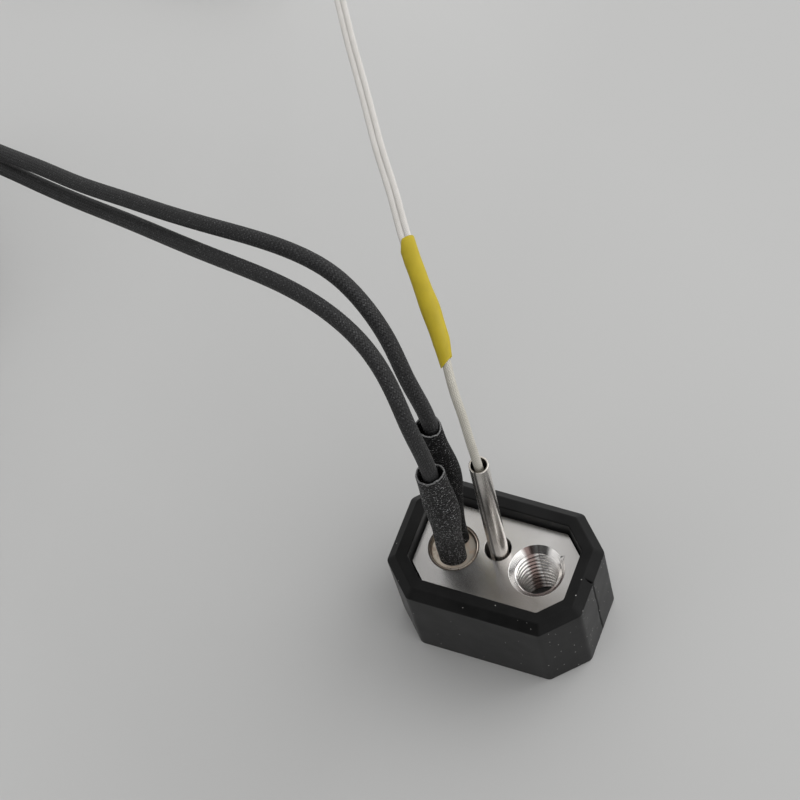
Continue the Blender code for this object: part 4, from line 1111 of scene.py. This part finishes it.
class HOTEND_OT_ties(bpy.types.Operator):
    """Makes the band round each coil"""
    bl_idname = "hotend.ties"
    bl_label = "Coil ties"

    def execute(self, context):
        for node, coil, degrees, width, nylon in (
                ("lead_tie", LEAD_COIL, 300, 2.5 * MM, "grey_nylon"),
                ("wire_tie", WIRE_COIL, 250, 1.5 * MM, "white_nylon")):
            band = self.band(coil, math.radians(degrees), width)
            place_piece(band.build(f"{node}_band", finish(nylon)), "block", nylon, node)
        return {"FINISHED"}

    def band(self, coil, angle, width):
        """A flat band carried round the coil's section: a rounded rectangle of points, each given
        the band's own small section, and its head as a short loft outside it."""
        out = np.array((math.cos(angle), math.sin(angle), 0))
        ahead = np.array((-math.sin(angle), math.cos(angle), 0))
        half = coil["turns"] * coil["pitch"] / 2
        inner = coil["radius"] - half - coil["width"] / 2
        outer = coil["radius"] + half + coil["width"] / 2
        gap, rise, thick, size, edge = mm((0.3, 0.1, 0.25, 0.35, 0.06))
        near, far = math.sqrt(inner**2 - (width / 2) ** 2) - gap, outer + gap
        low = coil["foot"] - rise
        high = coil["foot"] + 2 * coil["layers"] * coil["pitch"] + rise
        loop = rounded([(near, low, size), (far, low, size), (far, high, size),
                        (near, high, size)])
        slope = np.gradient(np.vstack([loop[-1:], loop, loop[:1]]), axis=0)[1:-1]
        away = unit(np.stack([slope[:, 1], -slope[:, 0]], -1))
        middle = np.array(((near + far) / 2, (low + high) / 2))
        away *= np.sign(np.sum(away * (loop - middle), axis=1))[:, None]
        section = rounded([(-width / 2, 0, edge), (width / 2, 0, edge), (width / 2, thick, edge),
                           (-width / 2, thick, edge)], 2)
        spots = loop[:, None] + section[None, :, 1:] * away[:, None]
        centre = np.array((*coil["middle"], 0))
        grid = (centre + spots[..., :1] * out + spots[..., 1:] * UPWARD
                + section[None, :, :1] * ahead)
        skin = Skin().add(grid, wrap_rows=True)

        box = rounded([(-0.8, -0.62, 0.2), (0.8, -0.62, 0.2), (0.8, 0.62, 0.2),
                       (-0.8, 0.62, 0.2)], 3) * width
        rises = np.array((0.0, 0.05, 0.42, 0.5))[:, None, None] * width
        fits = np.array((0.94, 1.0, 1.0, 0.88))[:, None, None]
        seat = centre + out * middle[0] + UPWARD * (high + thick * 0.9)
        head = seat + rises * UPWARD + fits * (box[None, :, :1] * out + box[None, :, 1:] * ahead)
        return skin.add(head, caps=True)


class HOTEND_OT_sock(bpy.types.Operator):
    """Makes the silicone sock with its chamfered rim and parting line"""
    bl_idname = "hotend.sock"
    bl_label = "Silicone sock"

    def execute(self, context):
        grid = sock_grid(context.scene.hotend_sock)
        sock = Skin().add(grid, wrap_rows=True).build("sock_moulded", finish("silicone"))
        place_piece(sock, "sock", "black_silicone", "silicone_sock")
        return {"FINISHED"}


class HOTEND_OT_block(bpy.types.Operator):
    """Makes the plated block with its threaded hole, bores and countersinks"""
    bl_idname = "hotend.block"
    bl_label = "Heater block"

    def execute(self, context):
        place_piece(make_block(), "block", "plated_block", "heater_block")
        return {"FINISHED"}


class HOTEND_OT_grub_screws(bpy.types.Operator):
    """Makes the two grub screws that clamp the heater and the sensor"""
    bl_idname = "hotend.grub_screws"
    bl_label = "Grub screws"

    def execute(self, context):
        for name, side in SCREWS:
            low, high = corners(name)
            place = (low + high) / 2
            place[1] = (high if side > 0 else low)[1]
            length = (high - low)[1] / MM
            outline = rounded([(0, 0, 0), (1.25, 0, 0.05), (1.42, -0.2, 0.05),
                               (1.42, 0.6 - length, 0.1), (0.7, -length, 0.05),
                               (0, -length, 0)]) * MM
            screw = turned(outline, place, (0, side, 0))
            screw = screw.build(f"{name}_turned", finish("dark_steel"))
            socket = mm([(0, -1.1), (0.865, -1.1), (0.865, 0.5), (0, 0.5)])
            cut(screw, turned(socket, place, (0, side, 0), 6).build("hexagon", smooth=False))
            place_piece(screw, name.replace("grub_", ""), "black_steel", name)
        return {"FINISHED"}


class HOTEND_OT_cartridge(bpy.types.Operator):
    """Makes the heater cartridge's sheath and its ceramic end seal"""
    bl_idname = "hotend.cartridge"
    bl_label = "Heater cartridge"

    def execute(self, context):
        low, high = SHEATH_LOW[2], SHEATH_HIGH[2]
        radius = (SHEATH_HIGH[0] - SHEATH_LOW[0]) / 2
        inner = radius - 0.22 * MM
        floor = low + 0.4 * MM
        outline = rounded([(0, floor, 0), (inner, floor, 0.1 * MM), (inner, high, 0.07 * MM),
                           (radius, high, 0.15 * MM), (radius, low, 0.2 * MM), (0, low, 0)])
        sheath = turned(outline, HEATER_AXIS, sides=96).build("sheath_drawn", finish("sheath"))
        place_piece(sheath, "heater", "stainless", "heater_sheath")
        edge = inner - 0.03 * MM
        outline = rounded([(0, SEAL_LOW, 0), (edge, SEAL_LOW, 0.1 * MM),
                           (edge, SEAL_HIGH, 0.25 * MM), (edge - 1.2 * MM, SEAL_HIGH, 0.3 * MM),
                           (0, SEAL_HIGH - 0.02 * MM, 0)])
        seal = turned(outline, HEATER_AXIS).build("seal_fired", finish("seal"))
        bore, past, holes = 0.5 * MM, 1.0 * MM, []
        hole = [(0, SEAL_LOW - past), (bore, SEAL_LOW - past), (bore, SEAL_HIGH + past),
                (0, SEAL_HIGH + past)]
        for side in (1.2 * MM, -1.2 * MM):
            holes.append(turned(hole, HEATER_AXIS + PAIR * side, sides=24).build("pin_hole"))
        cut(seal, *holes)
        place_piece(seal, "heater", "ceramic", "heater_end_seal")
        return {"FINISHED"}


class HOTEND_OT_sleeves(bpy.types.Operator):
    """Makes the two black braided sleeves over the heater's crimps"""
    bl_idname = "hotend.sleeves"
    bl_label = "Black sleeves"

    def execute(self, context):
        # The rear sleeve takes the darker copy of the sleeving as painted shade
        for end, phase, cloth in (("front", 0.7, "sleeving"), ("rear", 3.6, "shaded_sleeving")):
            sleeve = self.sleeve(SLEEVES[end], phase)
            sleeve = sleeve.build(f"sleeving_{end}", finish(cloth), finish("cut_edge"))
            place_piece(sleeve, "heater", "black_sleeving", f"sleeve_{end}")
        return {"FINISHED"}

    def sleeve(self, stations, phase):
        """An oval section skinned up smooth stations, out and then back inside by its wall. Its
        half widths swell and shrink by two slow waves of the angle and the height, and its upper
        end is cut uneven by waves of the angle. A bead goes round the cut end."""
        top, wall, bevel, count = stations[-1, 0], 0.3 * MM, 0.08 * MM, 110
        share, inset = out_and_back(count, wall)
        inset[[0, count - 1]] = bevel
        inset[[count, -1]] = wall - bevel
        angle = angles(72)[None, :]
        shape = spline(stations[:, 0], stations[:, 1:], share[:, 0] * top)
        across, along, wide, deep = (shape[:, k:k + 1] for k in range(4))
        folds = (0.035 * np.sin(2 * angle + phase + 9 * share)
                 + 0.03 * np.sin(3 * angle - 5 * share + phase))
        folds = 1 + folds * eased(share, 0.02, 0.2)
        ragged = (0.12 * np.sin(2 * angle + phase) + 0.07 * np.sin(7 * angle)
                  + 0.05 * np.sin(13 * angle)) * MM
        height = SEAL_HIGH + 0.1 * MM + share * top + ragged * eased(share, 0.93, 1.0)
        reach_wide = (wide - inset) * folds * np.cos(angle) + across
        reach_deep = (deep - inset) * folds * np.sin(angle) + along
        grid = (HEATER_AXIS + reach_wide[..., None] * ACROSS + reach_deep[..., None] * PAIR
                + height[..., None] * UPWARD)
        skin = Skin().add(grid, wrap_rows=True, along=(share[:, 0] * top) / MM)
        outer, inner = grid[count - 1], grid[count]
        turn = angles(8)[:, None, None]
        bead = 0.1 * MM * (np.cos(turn) * unit(outer - inner) + np.sin(turn) * UPWARD)
        return skin.add((outer + inner) / 2 + bead, wrap_rows=True, mark=1)


class HOTEND_OT_sensor_tube(bpy.types.Operator):
    """Makes the sensor's steel tube"""
    bl_idname = "hotend.sensor_tube"
    bl_label = "Sensor tube"

    def execute(self, context):
        length = float(np.linalg.norm(TUBE_LINE)) / MM
        outline = rounded([(0, 0.2, 0), (0.57, 0.2, 0.1), (0.95, 0.5, 0.1), (0.95, length, 0.05),
                           (1.15, length, 0.06), (1.15, 0.4, 0.2), (0.69, 0, 0.15),
                           (0, 0, 0)]) * MM
        tube = turned(outline, TUBE_FOOT, TUBE_LINE).build("tube_drawn", finish("tube"))
        place_piece(tube, "sensor", "stainless", "sensor_tube")
        return {"FINISHED"}


class HOTEND_OT_heat_shrink(bpy.types.Operator):
    """Makes the yellow heat-shrink over the splices"""
    bl_idname = "hotend.heat_shrink"
    bl_label = "Heat-shrink"

    def execute(self, context):
        shrink = self.pipe().build("shrink_yellow", finish("shrink"))
        place_piece(shrink, "sensor", "yellow_shrink", "heat_shrink")
        return {"FINISHED"}

    def pipe(self):
        """A flattened pipe along the sensor's route, out and back inside by its wall, with a
        bump over the splices. Its ends are cut aslant, so each point's place along the route is
        shifted by the cosine of its angle, and the upper end has one corner snipped off."""
        route = smooth_line(SENSOR_ROUTE)
        share, inset = out_and_back(90, 0.09 * MM)
        angle = angles(48)[None, :]
        level, rise = np.cos(angle), np.sin(angle)
        start, stop = SHRINK_REACH
        slant = 0.5 * level * (1 - eased(share, 0, 0.25))
        slant = slant + (0.3 * level - 1.2 * eased(-level, 0.4, 1.0)) * eased(share, 0.75, 1)
        reach = start + (stop - start) * share + slant * MM
        middle, across, up = sampled(reach, lengths_along(route), route, *side_frames(route))
        bump = 0.12 * MM * np.exp(-(((share - 0.4) / 0.12) ** 2))
        wide = 1.005 * MM + bump - 0.25 * MM * np.clip(1 - share / 0.15, 0, 1)
        deep = 0.665 * MM + 0.4 * bump
        wave = 1 + 0.02 * np.sin(3 * angle + 14 * share) * np.sin(9 * share)
        grid = (middle + across * ((wide - inset) * wave * level)[..., None]
                + up * ((deep - inset) * wave * rise)[..., None])
        return Skin().add(grid, wrap_rows=True, along=share[:, 0] * (stop - start) / MM)


class HOTEND_OT_cream_sleeve(bpy.types.Operator):
    """Makes the cream sleeve that leads from the sensor's tube into the heat-shrink"""
    bl_idname = "hotend.cream_sleeve"
    bl_label = "Cream sleeve"

    def execute(self, context):
        width = context.scene.hotend_sensor.sleeve_width
        route = smooth_line(SENSOR_ROUTE)
        path = route[lengths_along(route) <= SLEEVE_END]
        piece, line = make_cord("cream_sleeve", path, width, "cream", (-0.55, 0.83, 0),
                                (0.35 * MM, 0.35 * MM), SLEEVE_END, 20)
        place_piece(piece, "sensor", "cream_sleeving", "sensor_sleeve")
        return {"FINISHED"}


class HOTEND_OT_inner_parts(bpy.types.Operator):
    """Gives each part inside the cartridge, the tube and the heat-shrink its own finish"""
    bl_idname = "hotend.inner_parts"
    bl_label = "Inner parts"

    def execute(self, context):
        groups = {
            "ceramic": ("heater_core", "sensor_bead", "sensor_potting"),
            "resistance": ("heater_winding", "sensor_leg_left", "sensor_leg_right"),
            "tin": ("heater_pin_front", "heater_pin_rear", "crimp_front", "crimp_rear",
                    "splice_left", "splice_right", "connector_terminal_left",
                    "connector_terminal_right"),
        }
        for name, nodes in groups.items():
            for node in nodes:
                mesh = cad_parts[node].data
                mesh.materials.clear()
                mesh.materials.append(finish(name))
        return {"FINISHED"}


class HOTEND_OT_stage(bpy.types.Operator):
    """Makes the floor, the lamp and the light from all round"""
    bl_idname = "hotend.stage"
    bl_label = "Stage"

    def execute(self, context):
        looks = context.scene.hotend_stage
        self.floor(looks.floor)
        self.lamp("key", looks.key, 0.6, Vector((0.42, 0.5, 0.72)))
        self.room(looks.sky, looks.side)
        context.scene.view_settings.view_transform = "Standard"
        return {"FINISHED"}

    def floor(self, color):
        """A round slab of rings with painted light: its colour falls off a little towards the front
        left as painted shade, and rises by a tenth at the far left as painted light."""
        ring = angles(96)
        reach = np.array((0.02, 0.1, 0.4, 1.5, 6.0))[:, None]
        grid = np.stack([reach * np.cos(ring), reach * np.sin(ring),
                         0 * reach * ring - 0.02 * MM], -1)
        skin = Skin().add(np.concatenate([grid, grid[::-1] - (0, 0, 2 * MM)]), caps=True)
        made = Finish("pale_floor", color, 0.85, Specular_IOR_Level=0.25)
        place = made.spot()
        x, y, _ = made.split(place)
        # Painted light and shade: darker towards the front left, lighter at the far left
        far = made.calc("ADD", made.calc("MULTIPLY", x, 0.55), y)
        shade = made.calc("MULTIPLY", made.span(far, -0.05, 0.06, 0.86, 1.0),
                          made.span(x, -0.06, -0.015, 1.1, 1.0))
        base = made.mix(1.0, color, shade, "MULTIPLY")
        cloud = made.span(made.noise(place, 9.0), *CLOUD, 0.0, 0.04)
        made.paint(made.mix(cloud, base, (0.3, 0.3, 0.3)))
        skin.build("floor", made.material)

    def lamp(self, name, power, size, place):
        """A round soft lamp that looks at the origin."""
        light = bpy.data.lights.new(name, "AREA")
        light.shape = "DISK"
        light.size = size
        light.energy = power
        piece = bpy.data.objects.new(name, light)
        piece.location = place
        piece.rotation_euler = (-place).to_track_quat("-Z", "Y").to_euler()
        bpy.context.scene.collection.objects.link(piece)

    def room(self, sky, side):
        """A soft dome of light, brighter towards the right and the back by side times the
        direction's share of that way. In front, low down, the dome has a dim gap, and at the
        left a soft window."""
        world = bpy.data.worlds.new("room")
        world.use_nodes = True
        tree = world.node_tree
        back = tree.nodes["Background"]
        back.inputs["Color"].default_value = (1.0, 1.0, 1.0, 1.0)
        place = tree.nodes.new("ShaderNodeTexCoord").outputs["Generated"]

        def step(kind, *values, **settings):
            made = tree.nodes.new("ShaderNode" + kind)
            for key, value in settings.items():
                setattr(made, key, value)
            for socket, value in zip(made.inputs, values):
                if isinstance(value, bpy.types.NodeSocket):
                    tree.links.new(value, socket)
                else:
                    socket.default_value = value
            return made.outputs["Value"] if kind == "VectorMath" else made.outputs[0]

        right, front, left = (step("VectorMath", place, way, operation="DOT_PRODUCT") for way in (
            (0.88, 0.47, 0.0), (0.12, -0.91, 0.39), (-0.78, -0.6, 0.17)))
        light = step("Math", step("Math", right, side, sky, operation="MULTIPLY_ADD"), 0.15,
                     operation="MAXIMUM")
        window = step("MapRange", left, 0.88, 0.96, 0.0, 0.7)
        gap = step("MapRange", front, 0.84, 0.9, 1.0, 0.08)
        light = step("Math", light, window, operation="ADD")
        tree.links.new(step("Math", light, gap, operation="MULTIPLY"), back.inputs["Strength"])
        bpy.context.scene.world = world


class HOTEND_PT_pieces(bpy.types.Panel):
    """Lists the pieces in the order in which they are made"""
    bl_idname = "HOTEND_PT_pieces"
    bl_label = "Hotend heater end"
    bl_space_type = "VIEW_3D"
    bl_region_type = "UI"
    bl_category = "Hotend"

    def draw(self, context):
        for group, kind in GROUPS.items():
            box = self.layout.box()
            for key in kind.__annotations__:
                box.prop(getattr(context.scene, group), key)
        column = self.layout.column(align=True)
        for piece in PIECES:
            column.operator(piece.bl_idname)


PIECES = (
    HOTEND_OT_camera, HOTEND_OT_lead_ends, HOTEND_OT_heater_leads, HOTEND_OT_connector,
    HOTEND_OT_sensor_wires, HOTEND_OT_heat_shrink, HOTEND_OT_cream_sleeve, HOTEND_OT_ties,
    HOTEND_OT_sock, HOTEND_OT_block, HOTEND_OT_grub_screws, HOTEND_OT_cartridge,
    HOTEND_OT_sleeves, HOTEND_OT_sensor_tube, HOTEND_OT_inner_parts, HOTEND_OT_stage,
)
GROUPS = {"hotend_sock": HotendSock, "hotend_metal": HotendMetal, "hotend_cords": HotendCords,
          "hotend_sensor": HotendSensor, "hotend_stage": HotendStage}


def register():
    for kind in (*GROUPS.values(), *PIECES, HOTEND_PT_pieces):
        bpy.utils.register_class(kind)
    for name, kind in GROUPS.items():
        setattr(bpy.types.Scene, name, bpy.props.PointerProperty(type=kind))


def unregister():
    for name in GROUPS:
        delattr(bpy.types.Scene, name)
    for kind in (HOTEND_PT_pieces, *reversed(PIECES), *reversed(GROUPS.values())):
        bpy.utils.unregister_class(kind)


def main():
    register()
    for piece in PIECES:
        group, name = piece.bl_idname.split(".")
        if getattr(getattr(bpy.ops, group), name)() != {"FINISHED"}:
            raise RuntimeError(f"{piece.bl_label} wasn't made")


if __name__ == "__main__":
    main()
